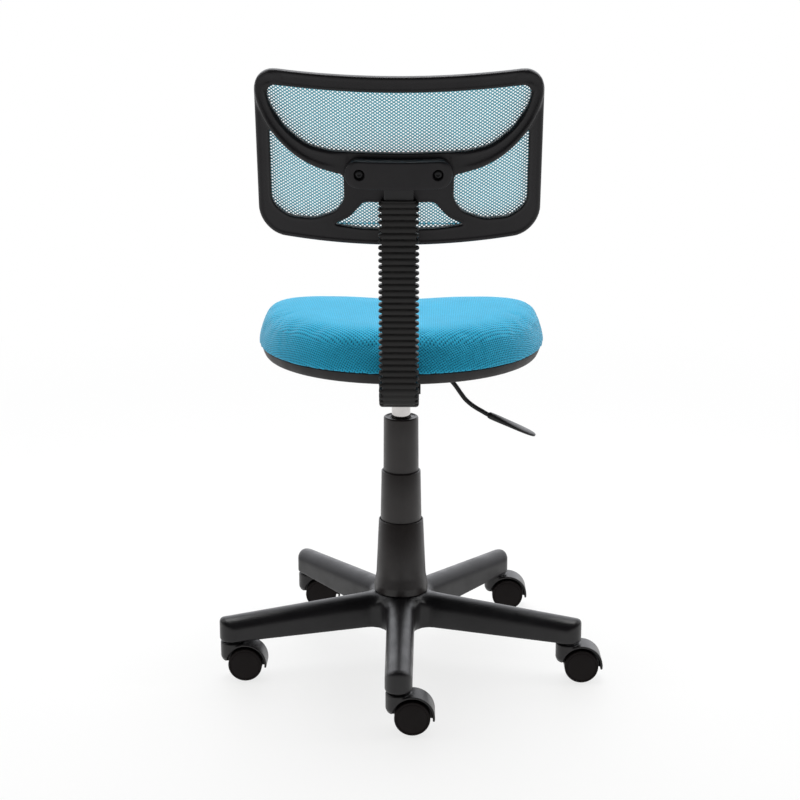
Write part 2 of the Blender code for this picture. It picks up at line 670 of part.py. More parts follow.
# ---------------------------------------------------------------- back
def back_place():
    """The back's own axes: x across, y down its slope, z forward out of its rear face."""
    y, z, _ = bar_point(BAR_LENGTH)
    down = Vector((0, sin(BACK_TILT), -cos(BACK_TILT)))
    forward = Vector((0, cos(BACK_TILT), sin(BACK_TILT)))
    top = Vector((0, y, z)) - down * BAR_INSERT_T + forward * (BRACKET_THICK / 2 + GAP)
    place = Matrix.Identity(4)
    for column, axis in enumerate((Vector((1, 0, 0)), down, forward)):
        place.col[column] = (*axis, 0)
    place.col[3] = (*top, 1)
    return place


def curved_slab(low, high, half=0.20, start=-0.01, end=0.24, pieces=24):
    """A plate with the back's sideways curve, between two depths."""
    rings = []
    for step in range(pieces + 1):
        x = half * (2 * step / pieces - 1)
        bow = x * x / (2 * BACK_CURVE)
        near, far = bow + low, bow + high
        rings.append([(x, start, near), (x, end, near), (x, end, far), (x, start, far)])
    return loft_mesh(rings)


def mirrored(points):
    """The outline of a shape from its right half, listed from the middle out and back."""
    return points + [(-x, *rest) for x, *rest in reversed(points)]


def back_outline(inset=0.0):
    wide, top, low = BACK_HALF - inset, inset, BACK_HEIGHT - inset
    return rounded_outline(mirrored([(wide, top, 0.030 - inset), (wide, low, 0.036 - inset)]), 6)


WINDOWS = {
    "upper_window": mirrored([(0.1740, 0.0200, 0.012), (0.1665, 0.0475, 0.050), (0.1475, 0.0742, 0.060),
                              (0.1200, 0.0942, 0.060), (0.0880, 0.0992, 0.060)]),
    "lower_window": mirrored([(0.0460, 0.1660, 0.010), (0.0560, 0.1780, 0.020), (0.0660, 0.1890, 0.022),
                              (0.0870, 0.1995, 0.0008), (0.0500, 0.2022, 0.050)]),
}
SIDE_WINDOW = [(0.1690, 0.0775, 0.002), (0.1370, 0.1085, 0.060), (0.1000, 0.1245, 0.050),
               (0.0720, 0.1290, 0.009), (0.0716, 0.1645, 0.020), (0.0830, 0.1812, 0.025),
               (0.1120, 0.1940, 0.045), (0.1450, 0.1955, 0.030), (0.1690, 0.1820, 0.022)]


def make_back(seat):
    place = back_place()
    frame = add_part("back_frame", curved_slab(0, BACK_THICK), PLASTIC, seat, place)
    edge = outline_mesh(back_outline(), -0.02, 0.10)
    combine(frame, add_tool("frame_outline", edge, seat, place), "INTERSECT")
    for name, corners in WINDOWS.items():
        window = outline_mesh(rounded_outline(corners), -0.02, 0.10)
        combine(frame, add_tool(name, window, seat, place), "DIFFERENCE")
    for side in (-1, 1):
        corners = [(side * x, t, radius) for x, t, radius in SIDE_WINDOW][::side]
        window = outline_mesh(rounded_outline(corners), -0.02, 0.10)
        combine(frame, add_tool("side_window", window, seat, place), "DIFFERENCE")
        hole = rod_mesh(0.0028, (side * SCREW_X, SCREW_T, -0.02), (side * SCREW_X, SCREW_T, 0.0080), 10)
        combine(frame, add_tool("screw_hole", hole, seat, place), "DIFFERENCE")

    sheet = curved_slab(BACK_THICK + GAP, BACK_THICK + 0.0018)
    panel = add_part("mesh_panel", sheet, MESH, seat, place)
    combine(panel, add_tool("panel_outline", outline_mesh(back_outline(0.007), -0.02, 0.10), seat, place),
            "INTERSECT")


def make_bracket(seat):
    place = back_place()
    low, high = -BRACKET_THICK - GAP, -GAP
    plate = add_part("back_bracket", curved_slab(low, high, 0.09, 0.09, 0.16, 12), PLASTIC, seat, place)
    corners = [(BRACKET_HALF, BRACKET_T - BRACKET_HALF_HEIGHT, BRACKET_CORNER),
               (BRACKET_HALF, BRACKET_T + BRACKET_HALF_HEIGHT, BRACKET_CORNER)]
    outline = outline_mesh(rounded_outline(mirrored(corners), 6), -0.03, 0.03)
    combine(plate, add_tool("bracket_outline", outline, seat, place), "INTERSECT")
    depth = -BRACKET_THICK / 2 - GAP
    slot = box_mesh((2 * BAR_HALF_WIDTH + 0.0008, 0.060, 2 * BAR_HALF_THICK + 0.0008),
                    (0, BAR_INSERT_T - 0.0008 + 0.030, depth))
    combine(plate, add_tool("bar_slot", slot, seat, place), "DIFFERENCE")
    bow = SCREW_X * SCREW_X / (2 * BACK_CURVE)
    seat_depth = bow + low + 0.0045
    for side, name in ((-1, "left"), (1, "right")):
        x = side * SCREW_X
        recess = rod_mesh(RECESS_RADIUS, (x, SCREW_T, -0.03), (x, SCREW_T, seat_depth), 14)
        combine(plate, add_tool("screw_recess", recess, seat, place), "DIFFERENCE")
        hole = rod_mesh(0.0028, (x, SCREW_T, -0.03), (x, SCREW_T, 0.02), 10)
        combine(plate, add_tool("screw_through", hole, seat, place), "DIFFERENCE")
        head = seat_depth - GAP
        screw = turned_mesh([(0, 0.0070), (0.0025, 0.0070), (0.0025, head), (0.0058, head),
                             (0.0058, head - 0.0032), (0.0030, head - 0.0032), (0.0024, head - 0.0012),
                             (0, head - 0.0012)], 10, closed=False)
        add_part(f"bracket_screw_{name}", screw, BRIGHT, seat, place @ Matrix.Translation((x, SCREW_T, 0)))


# ---------------------------------------------------------------- seat
def seat_ring(inset, height, count=28):
    """The seat's plan: an oval, fuller at the front, drawn in by an inset."""
    points = []
    for step in range(count):
        turn = 2 * pi * (step + 0.5) / count
        power = 2 / 2.1 if sin(turn) < 0 else 2 / 2.7
        depth = SEAT_REAR if sin(turn) < 0 else SEAT_FRONT
        x = (SEAT_HALF - inset) * abs(cos(turn))**power * (1 if cos(turn) > 0 else -1)
        y = (depth - inset) * abs(sin(turn))**power * (1 if sin(turn) > 0 else -1)
        points.append((x, SEAT_CENTRE_Y + y, height))
    return points


def make_seat(seat):
    pan = loft_mesh([seat_ring(0.010, SEAT_BOTTOM), seat_ring(0.0055, SEAT_BOTTOM + 0.0025),
                     seat_ring(0.0020, RIM_TOP), seat_ring(0.0050, RIM_TOP),
                     seat_ring(0.0085, SEAT_BOTTOM + 0.0030)])
    pan = add_part("seat_pan", pan, PLASTIC, seat)
    board = loft_mesh([seat_ring(0.0095, SEAT_BOTTOM + 0.0033), seat_ring(0.0095, RIM_TOP)])
    board = add_part("seat_board", board, PLY, seat)
    for x, y in SEAT_BOLTS:
        hole = rod_mesh(BOLT_RADIUS + GAP, (x, y, 0.458), (x, y, 0.487), 10)
        for piece in (pan, board):
            combine(piece, add_tool("seat_hole", hole, seat), "DIFFERENCE")
    stations = [(0.006, RIM_TOP + 0.0005), (0.0, 0.4970), (0.0005, 0.5110), (0.0085, 0.5290), (0.022, 0.5390),
                (0.050, 0.5450), (0.090, CUSHION_TOP)]
    add_part("seat_cushion", loft_mesh([seat_ring(inset, z) for inset, z in stations]), FABRIC, seat)


# ---------------------------------------------------------------- the chair
def main():
    root = new_empty("chair_root", (0, 0, 0))
    seat = new_empty("seat_pivot", (0, 0, SPINDLE_BOTTOM), root)
    lever = new_empty("lever_pivot", (CHANNEL_HALF, 0, LEVER_Z), seat)
    make_base(root)
    make_casters(root)
    make_column(root, seat)
    make_covers(root)
    make_mechanism(seat)
    make_bolts(seat)
    make_valve(seat)
    make_lever(lever)
    make_bar(seat)
    make_bellows(seat)
    make_back(seat)
    make_bracket(seat)
    make_seat(seat)
    root.location = ROOT
    bpy.context.view_layer.update()


main()
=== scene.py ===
"""Looks for the swivel task chair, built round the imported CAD. Metres, +Z up, the sitter faces +Y."""

import json
from math import cos, hypot, pi, radians, sin, sqrt, tan

import bmesh
import bpy
import numpy as np
from mathutils import Matrix, Vector


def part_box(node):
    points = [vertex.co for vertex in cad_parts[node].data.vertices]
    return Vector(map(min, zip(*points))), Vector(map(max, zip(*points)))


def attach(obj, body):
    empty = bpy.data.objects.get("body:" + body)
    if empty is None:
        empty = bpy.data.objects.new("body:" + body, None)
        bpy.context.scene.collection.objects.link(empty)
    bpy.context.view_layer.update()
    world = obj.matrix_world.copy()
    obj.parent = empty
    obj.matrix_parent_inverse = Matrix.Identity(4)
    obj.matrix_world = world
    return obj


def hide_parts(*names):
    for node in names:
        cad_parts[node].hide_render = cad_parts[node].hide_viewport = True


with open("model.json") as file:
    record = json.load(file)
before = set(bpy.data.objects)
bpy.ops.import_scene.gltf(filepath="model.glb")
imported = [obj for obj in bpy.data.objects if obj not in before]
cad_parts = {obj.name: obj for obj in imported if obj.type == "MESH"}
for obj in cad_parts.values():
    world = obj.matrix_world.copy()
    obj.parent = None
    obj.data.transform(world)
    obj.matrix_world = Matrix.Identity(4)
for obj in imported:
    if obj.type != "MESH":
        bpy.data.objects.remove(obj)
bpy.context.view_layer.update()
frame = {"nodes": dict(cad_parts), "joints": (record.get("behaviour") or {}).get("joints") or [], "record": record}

SCENE = bpy.context.scene


# ------------ places that the CAD gives
def middle(node):
    low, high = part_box(node)
    return (low + high) / 2


AXIS = middle("gas_spindle")  # the column's axis in x and y
CASTERS = [f"caster_{i}" for i in range(1, 6)]
LEG_ANGLES = [radians(-90 + 72 * i) for i in range(5)]
LEG_REACH = (middle("caster_1_stem") - AXIS).to_2d().length

BASE_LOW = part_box("star_base")[0].z
PAN_LOW, PAN_HIGH = (corner.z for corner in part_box("seat_pan"))
BACK_TILT = radians(12)
BACK_HEIGHT = 0.2243
BACK_CURVE = 0.335  # radius of the back's sideways curve
BACK_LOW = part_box("back_frame")[0]
BACK_TOP = Vector((AXIS.x, BACK_LOW.y, BACK_LOW.z + BACK_HEIGHT * cos(BACK_TILT)))


# ------------ node materials
class Nodes:
    """A material's node tree with short names for what is wired often."""

    def __init__(self, name, base, roughness, metallic=0.0):
        self.mat = bpy.data.materials.new(name)
        self.mat.use_nodes = True
        self.tree = self.mat.node_tree
        self.shader = self.tree.nodes["Principled BSDF"]
        self.shader.inputs["Base Color"].default_value = (*base, 1)
        self.shader.inputs["Roughness"].default_value = roughness
        self.shader.inputs["Metallic"].default_value = metallic
        self.mat.diffuse_color = (*base, 1)
        self.coords = self.add("ShaderNodeTexCoord").outputs["Object"]

    def add(self, kind, **values):
        node = self.tree.nodes.new(kind)
        for key, value in values.items():
            setattr(node, key, value)
        return node

    def wire(self, source, target):
        self.tree.links.new(source, target)

    def noise(self, scale, detail=3.0, roughness=0.55, vector=None):
        node = self.add("ShaderNodeTexNoise")
        node.inputs["Scale"].default_value = scale
        node.inputs["Detail"].default_value = detail
        node.inputs["Roughness"].default_value = roughness
        self.wire(vector or self.coords, node.inputs["Vector"])
        return node.outputs["Fac"]

    def stretched(self, scales, vector=None):
        node = self.add("ShaderNodeMapping")
        node.inputs["Scale"].default_value = scales
        self.wire(vector or self.coords, node.inputs["Vector"])
        return node.outputs["Vector"]

    def span(self, value, low, high, to_low, to_high, smooth=False):
        node = self.add("ShaderNodeMapRange", interpolation_type="SMOOTHSTEP" if smooth else "LINEAR")
        for socket, number in zip(("From Min", "From Max", "To Min", "To Max"), (low, high, to_low, to_high)):
            node.inputs[socket].default_value = number
        self.wire(value, node.inputs["Value"])
        return node.outputs["Result"]

    def math(self, operation, a, b=None, c=None):
        node = self.add("ShaderNodeMath", operation=operation)
        for socket, value in zip(node.inputs, (a, b, c)):
            if value is None:
                continue
            if isinstance(value, (int, float)):
                socket.default_value = value
            else:
                self.wire(value, socket)
        return node.outputs[0]

    def mix(self, factor, first, second):
        node = self.add("ShaderNodeMix", data_type="RGBA")
        self.wire(factor, node.inputs[0])
        for socket, colour in zip((node.inputs[6], node.inputs[7]), (first, second)):
            if isinstance(colour, tuple):
                socket.default_value = (*colour, 1)
            else:
                self.wire(colour, socket)
        return node.outputs[2]

    def colour(self, output):
        self.wire(output, self.shader.inputs["Base Color"])

    def shades(self, value, low, high, first, second):
        """A colour that drifts from the first shade to the second as a value goes from low to high."""
        return self.mix(self.span(value, low, high, 0, 1), first, second)

    def rough(self, output):
        self.wire(output, self.shader.inputs["Roughness"])

    def bump(self, height, distance, strength=1.0, under=None):
        node = self.add("ShaderNodeBump")
        node.inputs["Distance"].default_value = distance
        node.inputs["Strength"].default_value = strength
        self.wire(height, node.inputs["Height"])
        if under:
            self.wire(under, node.inputs["Normal"])
        self.wire(node.outputs["Normal"], self.shader.inputs["Normal"])
        return node.outputs["Normal"]

    def set(self, **values):
        for key, value in values.items():
            self.shader.inputs[key.replace("_", " ")].default_value = value


def moulded(name, dark, light, rough_low, rough_high, grain, depth, level):
    """Moulded plastic: spark-eroded grain, slow colour drift and rubbed patches."""
    n = Nodes(name, light, (rough_low + rough_high) / 2)
    drift = n.noise(14, 4, 0.6)
    speck = n.noise(grain * 0.6, 2, 0.5)
    blend = n.math("MULTIPLY_ADD", speck, 0.45, n.math("MULTIPLY", drift, 0.55))
    n.colour(n.shades(blend, 0.35, 0.65, dark, light))
    rubbed = n.math("ADD", n.noise(38, 3), n.math("MULTIPLY", speck, 0.5))
    n.rough(n.span(rubbed, 0.55, 0.95, rough_low, rough_high))
    fine = n.bump(n.noise(grain, 2, 0.6), depth, 0.55)
    n.bump(n.noise(grain * 0.22, 2, 0.5), depth * 1.6, 0.30, fine)
    n.set(Specular_IOR_Level=level)
    return n.mat


def metal(name, base, roughness, scratch, metallic=1.0):
    """Metal with fine drawn lines along Z and slow changes of roughness."""
    n = Nodes(name, base, roughness, metallic)
    lines = n.noise(1.0, 3, 0.6, n.stretched((2600, 2600, 60)))
    patches = n.noise(45, 3)
    shade = tuple(c * 0.86 for c in base)
    n.colour(n.shades(patches, 0.35, 0.65, shade, base))
    n.rough(n.span(n.math("ADD", lines, patches), 0.7, 1.3, roughness * 0.75, roughness * 1.3))
    n.bump(lines, scratch, 0.5)
    return n.mat


def coated(name, base, roughness):
    """Powder coat: orange-peel skin over sheet steel."""
    n = Nodes(name, base, roughness)
    peel = n.noise(420, 2, 0.5)
    patches = n.noise(30, 3)
    n.colour(n.shades(patches, 0.35, 0.65, tuple(c * 0.75 for c in base), base))
    n.rough(n.span(patches, 0.3, 0.7, roughness - 0.06, roughness + 0.08))
    fine = n.bump(peel, 0.00025, 0.6)
    n.bump(n.noise(1900, 2), 0.00008, 0.4, fine)
    n.set(Coat_Weight=0.05, Coat_Roughness=0.3, Specular_IOR_Level=0.25)
    return n.mat


def rubber(name):
    n = Nodes(name, (0.016, 0.015, 0.0145), 0.5)
    bloom = n.noise(55, 4, 0.6)
    n.colour(n.shades(bloom, 0.4, 0.7, (0.0065, 0.0058, 0.0056), (0.0110, 0.0098, 0.0094)))
    n.rough(n.span(bloom, 0.3, 0.7, 0.42, 0.60))
    n.bump(n.noise(1300, 2), 0.00012, 0.5)
    n.set(Specular_IOR_Level=0.3)
    return n.mat


def plywood(name):
    n = Nodes(name, (0.55, 0.40, 0.24), 0.6)
    grain = n.noise(1.0, 4, 0.6, n.stretched((18, 160, 900)))
    n.colour(n.shades(grain, 0.3, 0.7, (0.36, 0.23, 0.12), (0.60, 0.44, 0.27)))
    n.rough(n.span(grain, 0.3, 0.7, 0.5, 0.75))
    n.bump(grain, 0.0004, 0.5)
    return n.mat


WEAVE = 0.0052  # pitch of the seat fabric's cells


def seat_fabric(name):
    """Spacer mesh: staggered diamond cells, read from the cloth's own flat coordinates, with painted shade in each
    cell's hole.
    """
    n = Nodes(name, (0.05, 0.36, 0.50), 0.8)
    flat = n.add("ShaderNodeAttribute", attribute_name="cloth", attribute_type="GEOMETRY")
    parts = n.add("ShaderNodeSeparateXYZ")
    n.wire(flat.outputs["Vector"], parts.inputs[0])
    u, v = parts.outputs["X"], parts.outputs["Y"]
    turn = 2 * pi / WEAVE
    one = n.math("COSINE", n.math("MULTIPLY", n.math("ADD", u, v), turn))
    two = n.math("COSINE", n.math("MULTIPLY", n.math("SUBTRACT", u, v), turn))
    # 2 in the middle of a cell, -2 where its threads cross
    cells = n.math("ADD", one, two)
    yarn = n.noise(2600, 3, 0.6, flat.outputs["Vector"])
    # where the cells' holes lie: the mask of the painted shade inside each hole
    hole_shade_mask = n.span(n.math("MULTIPLY_ADD", yarn, 0.7, cells), 0.75, 1.9, 0, 1, smooth=True)
    patch = n.noise(26, 3, 0.5, flat.outputs["Vector"])
    thread = n.shades(patch, 0.35, 0.65, (0.006, 0.320, 0.540), (0.011, 0.380, 0.620))
    fibre = n.shades(yarn, 0.3, 0.7, thread, (0.026, 0.480, 0.730))
    # the holes take a near-black teal: painted shade in the recess of each hole
    n.colour(n.mix(hole_shade_mask, fibre, (0.0015, 0.085, 0.155)))
    n.rough(n.span(yarn, 0.3, 0.7, 0.70, 0.92))
    base = n.bump(n.span(cells, -2, 2, 1, 0, smooth=True), 0.0007, 0.75)
    n.bump(yarn, 0.00022, 0.6, base)
    n.set(Sheen_Weight=0.26, Sheen_Roughness=0.4, Sheen_Tint=(1.0, 0.93, 0.90, 1.0), Specular_IOR_Level=0.2)
    return n.mat


def net_yarn(name):
    """Bright knitted polyester: fibres and slow colour change on threads that are real geometry."""
    n = Nodes(name, (0.07, 0.34, 0.46), 0.6)
    fibre = n.noise(3800, 3, 0.6)
    patch = n.noise(20, 3)
    low = n.shades(patch, 0.35, 0.65, (0.060, 0.370, 0.480), (0.085, 0.430, 0.545))
    n.colour(n.shades(fibre, 0.3, 0.7, low, (0.17, 0.56, 0.68)))
    n.rough(n.span(fibre, 0.3, 0.7, 0.5, 0.75))
    n.bump(fibre, 0.00015, 0.6)
    n.set(Sheen_Weight=0.3, Sheen_Roughness=0.4)
    return n.mat


# dark and light colour, lowest and highest roughness, grain, depth of the grain, specular level
PLASTICS = {
    "base_nylon": ((0.0075, 0.0068, 0.0078), (0.0120, 0.0110, 0.0125), 0.30, 0.44, 1500, 0.00016, 0.42),
    "cover_plastic": ((0.0160, 0.0125, 0.0120), (0.0240, 0.0195, 0.0185), 0.32, 0.44, 1900, 0.00010, 0.45),
    "black_plastic": ((0.008, 0.008, 0.009), (0.014, 0.014, 0.015), 0.34, 0.48, 1600, 0.0001, 0.42),
    "pan_plastic": ((0.010, 0.0085, 0.0085), (0.015, 0.013, 0.013), 0.48, 0.62, 1400, 0.00016, 0.35),
    "frame_plastic": ((0.0080, 0.0072, 0.0085), (0.0125, 0.0115, 0.0130), 0.30, 0.44, 1500, 0.00014, 0.24),
    "caster_plastic": ((0.0080, 0.0068, 0.0072), (0.0130, 0.0115, 0.0120), 0.28, 0.42, 1700, 0.00011, 0.42),
    "wheel_plastic": ((0.0060, 0.0035, 0.0033), (0.0095, 0.0062, 0.0058), 0.44, 0.60, 1500, 0.0001, 0.16),
}
MATERIALS = {name: moulded(name, *values) for name, values in PLASTICS.items()}
MATERIALS |= {
    "black_steel": coated("black_steel", (0.012, 0.012, 0.013), 0.38),
    "bright_steel": metal("bright_steel", (0.60, 0.60, 0.62), 0.28, 0.00004),
    "dark_screw": metal("dark_screw", (0.012, 0.012, 0.013), 0.40, 0.00003, 0.6),
    "chrome": metal("chrome", (0.62, 0.60, 0.59), 0.09, 0.000008),
    "rubber": rubber("rubber"),
    "plywood": plywood("plywood"),
    "seat_fabric": seat_fabric("seat_fabric"),
    "back_mesh": net_yarn("back_mesh"),
}


def paint_cad():
    """Every carried-over CAD node takes the node material of its own slot."""
    for part in frame["record"]["subparts"]:
        item = frame["nodes"][part["node"]]
        item.data.materials.clear()
        item.data.materials.append(MATERIALS[part["material_slot"]])


# ------------ mesh helpers
def finish_mesh(bm, name="mesh"):
    bmesh.ops.recalc_face_normals(bm, faces=bm.faces)
    mesh = bpy.data.meshes.new(name)
    bm.to_mesh(mesh)
    bm.free()
    return mesh


def piece(name, mesh, slot, body, replaces=(), sharp=38, place=None):
    """A visible piece: its mesh, its material, the body it rides on and the CAD nodes it stands for."""
    mesh.materials.clear()
    mesh.materials.append(MATERIALS[slot])
    mesh.shade_smooth()
    if sharp:
        mesh.set_sharp_from_angle(angle=radians(sharp))
    item = bpy.data.objects.new(name, mesh)
    SCENE.collection.objects.link(item)
    if place:
        item.matrix_world = place
    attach(item, body)
    if replaces:
        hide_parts(*replaces)
    return item


def spun(profile, sides=96, ring=False):
    """A profile of (radius, height) turned round Z. A ring's profile closes on itself."""
    bm = bmesh.new()
    turns = [2 * pi * i / sides for i in range(sides)]
    rows = []
    for radius, height in profile:
        if radius < 1e-7:
            rows.append([bm.verts.new((0, 0, height))])
        else:
            rows.append([bm.verts.new((radius * cos(a), radius * sin(a), height)) for a in turns])
    pairs = list(zip(rows, rows[1:])) + ([(rows[-1], rows[0])] if ring else [])
    for low, high in pairs:
        for i in range(sides):
            j = (i + 1) % sides
            corners = [low[i % len(low)], low[j % len(low)], high[j % len(high)], high[i % len(high)]]
            corners = list(dict.fromkeys(corners))
            if len(corners) > 2:
                bm.faces.new(corners)
    return finish_mesh(bm, "spun")


def skin(rings, closed=False):
    """A skin through rings of equal point count, capped unless it closes on itself."""
    bm = bmesh.new()
    rows = [[bm.verts.new(p) for p in ring] for ring in rings]
    size = len(rows[0])
    pairs = list(zip(rows, rows[1:])) + ([(rows[-1], rows[0])] if closed else [])
    for low, high in pairs:
        for i in range(size):
            j = (i + 1) % size
            bm.faces.new((low[i], low[j], high[j], high[i]))
    if not closed:
        for row in (rows[0], rows[-1]):
            bm.faces.new(row)
    return finish_mesh(bm, "skin")


def rounded(corners, steps=6, closed=True):
    """Points through (x, y, radius) corners, each rounded with an arc."""
    points, count = [], len(corners)
    for i, (x, y, radius) in enumerate(corners):
        here = Vector((x, y))
        if radius == 0 or (not closed and i in (0, count - 1)):
            points.append(here)
            continue
        back = (Vector(corners[i - 1][:2]) - here).normalized()
        ahead = (Vector(corners[(i + 1) % count][:2]) - here).normalized()
        half = back.angle(ahead) / 2
        centre = here + (back + ahead).normalized() * radius / sin(half)
        first = here + back * radius / tan(half) - centre
        last = here + ahead * radius / tan(half) - centre
        sweep = first.angle_signed(last)
        points += [centre + Matrix.Rotation(-sweep * step / steps, 2) @ first for step in range(steps + 1)]
    return points


def mirrored(points):
    return points + [(-x, *rest) for x, *rest in reversed(points)]


def temporary(mesh):
    item = bpy.data.objects.new("temporary", mesh)
    SCENE.collection.objects.link(item)
    return item


def baked(item):
    """The evaluated mesh of a temporary object, which is then removed."""
    graph = bpy.context.evaluated_depsgraph_get()
    mesh = bpy.data.meshes.new_from_object(item.evaluated_get(graph))
    bpy.data.objects.remove(item, do_unlink=True)
    return mesh


def plate(outlines, low, high):
    """Flat outlines, the first the edge and the rest its holes, as a solid between two heights."""
    curve = bpy.data.curves.new("plate", "CURVE")
    curve.dimensions = "2D"
    curve.fill_mode = "BOTH"
    curve.extrude = (high - low) / 2
    for points in outlines:
        spline = curve.splines.new("POLY")
        spline.points.add(len(points) - 1)
        for point, place in zip(spline.points, points):
            point.co = (place[0], place[1], 0, 1)
        spline.use_cyclic_u = True
    mesh = baked(temporary(curve))
    bm = bmesh.new()
    bm.from_mesh(mesh)
    bmesh.ops.remove_doubles(bm, verts=bm.verts, dist=1e-6)
    bmesh.ops.translate(bm, vec=(0, 0, (low + high) / 2), verts=bm.verts)
    return finish_mesh(bm, "plate")


def tube(points, radius, closed=True, sides=12):
    """A round bead along points."""
    curve = bpy.data.curves.new("tube", "CURVE")
    curve.dimensions = "3D"
    curve.bevel_depth = radius
    curve.bevel_resolution = max(0, sides // 4 - 1)
    curve.use_fill_caps = True
    spline = curve.splines.new("POLY")
    spline.points.add(len(points) - 1)
    for point, place in zip(spline.points, points):
        point.co = (*place, 1)
    spline.use_cyclic_u = closed
    return baked(temporary(curve))


def cylinder(radius, start, end, sides=64, end_radius=None):
    start, end = Vector(start), Vector(end)
    along = end - start
    bm = bmesh.new()
    bmesh.ops.create_cone(bm, cap_ends=True, segments=sides, radius1=radius,
                          radius2=radius if end_radius is None else end_radius, depth=along.length)
    turn = along.to_track_quat("Z", "Y").to_matrix().to_4x4()
    bmesh.ops.transform(bm, matrix=Matrix.Translation((start + end) / 2) @ turn, verts=bm.verts)
    return finish_mesh(bm, "cylinder")


def joined(meshes, places=None):
    bm = bmesh.new()
    for i, mesh in enumerate(meshes):
        copy = mesh.copy()
        if places:
            copy.transform(places[i])
        bm.from_mesh(copy)
    return finish_mesh(bm, "joined")


def cut(mesh, *tools, operation="DIFFERENCE"):
    """The mesh with each tool's mesh taken away, or added."""
    item = temporary(mesh)
    helpers = [temporary(tool) for tool in tools]
    for helper in helpers:
        mod = item.modifiers.new("cut", "BOOLEAN")
        mod.object = helper
        mod.operation = operation
        mod.solver = "EXACT"
    result = baked(item)
    for helper in helpers:
        bpy.data.objects.remove(helper, do_unlink=True)
    return result


def melted(mesh, voxel, rounds=4, factor=0.5):
    """One even skin over joined or cut solids, its edges softened as in a mould."""
    item = temporary(mesh)
    mod = item.modifiers.new("remesh", "REMESH")
    mod.mode = "VOXEL"
    mod.voxel_size = voxel
    mod = item.modifiers.new("smooth", "SMOOTH")
    mod.factor = factor
    mod.iterations = rounds
    return baked(item)


def moved(mesh, change):
    """Every vertex of a mesh sent through a function of its place."""
    for vertex in mesh.vertices:
        vertex.co = change(vertex.co)
    mesh.update()
    return mesh


def smoothstep(value, low, high):
    part = min(max((value - low) / (high - low), 0), 1)
    return part * part * (3 - 2 * part)


def flowing(points, per_span=6):
    """A smooth path through points (Catmull-Rom)."""
    points = [Vector(p) for p in points]
    path = []
    for i in range(len(points) - 1):
        before, start = points[max(i - 1, 0)], points[i]
        end, after = points[i + 1], points[min(i + 2, len(points) - 1)]
        for step in range(per_span):
            t = step / per_span
            second = 2 * before - 5 * start + 4 * end - after
            third = 3 * start - before - 3 * end + after
            path.append(0.5 * (2 * start + (end - before) * t + second * t**2 + third * t**3))
    return path + [points[-1]]


# ------------ five-star base
LEG_END_RADIUS = 0.0193
LEG_ROOT_HALF = 0.0210
LEG_ARCH = 0.0188  # the top falls this much from the crest to the side
LEG_END_EDGE = 0.0070
LEG_TIP_TOP = 0.0955
LEG_ROOT_TOP = 0.1090
LEG_FILLET = 0.022
LEG_SIDE_LOW = 0.0055  # the side's lower edge above the base's underside
HUB_RADIUS = 0.0430
HUB_TOP = 0.1095
STAR_VOXEL = 0.0016


def leg_half_width(reach):
    if reach > LEG_REACH:
        return sqrt(max(LEG_END_RADIUS**2 - (reach - LEG_REACH)**2, 0))
    straight = LEG_ROOT_HALF + (LEG_END_RADIUS - LEG_ROOT_HALF) * reach / LEG_REACH
    fillet_end = (LEG_ROOT_HALF + LEG_FILLET) / tan(radians(36))
    if reach >= fillet_end:
        return straight
    return straight + LEG_FILLET - sqrt(max(LEG_FILLET**2 - (reach - fillet_end)**2, 0))


def leg_top(reach):
    fall = (LEG_ROOT_TOP - LEG_TIP_TOP) / (LEG_REACH - 0.05)
    return LEG_ROOT_TOP - fall * max(reach - 0.05, 0)


def leg_skin(reach, aside):
    """Height of the arched top at a distance from the leg's middle line."""
    full = leg_half_width(reach) if reach <= LEG_REACH else LEG_END_RADIUS
    height = leg_top(reach) - LEG_ARCH * (1 - sqrt(max(1 - (aside / full)**2, 0)))
    past = reach - LEG_REACH
    into_edge = hypot(past, aside) - (LEG_END_RADIUS - LEG_END_EDGE)
    if past > 0 and into_edge > 0:
        drop = LEG_END_EDGE - sqrt(max(LEG_END_EDGE**2 - into_edge**2, 0))
        height -= drop * (past / LEG_END_RADIUS)**2
    return height


def leg_ring(reach):
    half = leg_half_width(reach)
    side = [half * cos(a) for a in np.radians((0, 4, 9, 15, 22, 30, 39, 49, 60, 72, 84))]
    right = [(reach, half, BASE_LOW + LEG_SIDE_LOW)] + [(reach, y, leg_skin(reach, y)) for y in side]
    return right + [(reach, -y, z) for _, y, z in reversed(right)]


def leg_mesh():
    root = list(np.linspace(0.0, 0.064, 25)) + list(np.linspace(0.075, LEG_REACH, 12))
    tip = [LEG_REACH + LEG_END_RADIUS * sin(radians(a)) for a in range(7, 89, 7)]
    return skin([leg_ring(r) for r in root + tip])


def rib_hollows():
    """The three hollows under a leg, with cross ribs between them."""
    hollows = []
    for start, end in ((0.055, 0.110), (0.114, 0.170), (0.174, 0.240)):
        half, roof = leg_half_width(end), leg_top(end) - 0.005
        rings = [[(x, side * (half - inset), z) for x, side in ((start, -1), (end, -1), (end, 1), (start, 1))]
                 for z, inset in ((BASE_LOW - 0.005, 0.0035), (roof, 0.0095))]
        hollows.append(skin(rings))
    return hollows


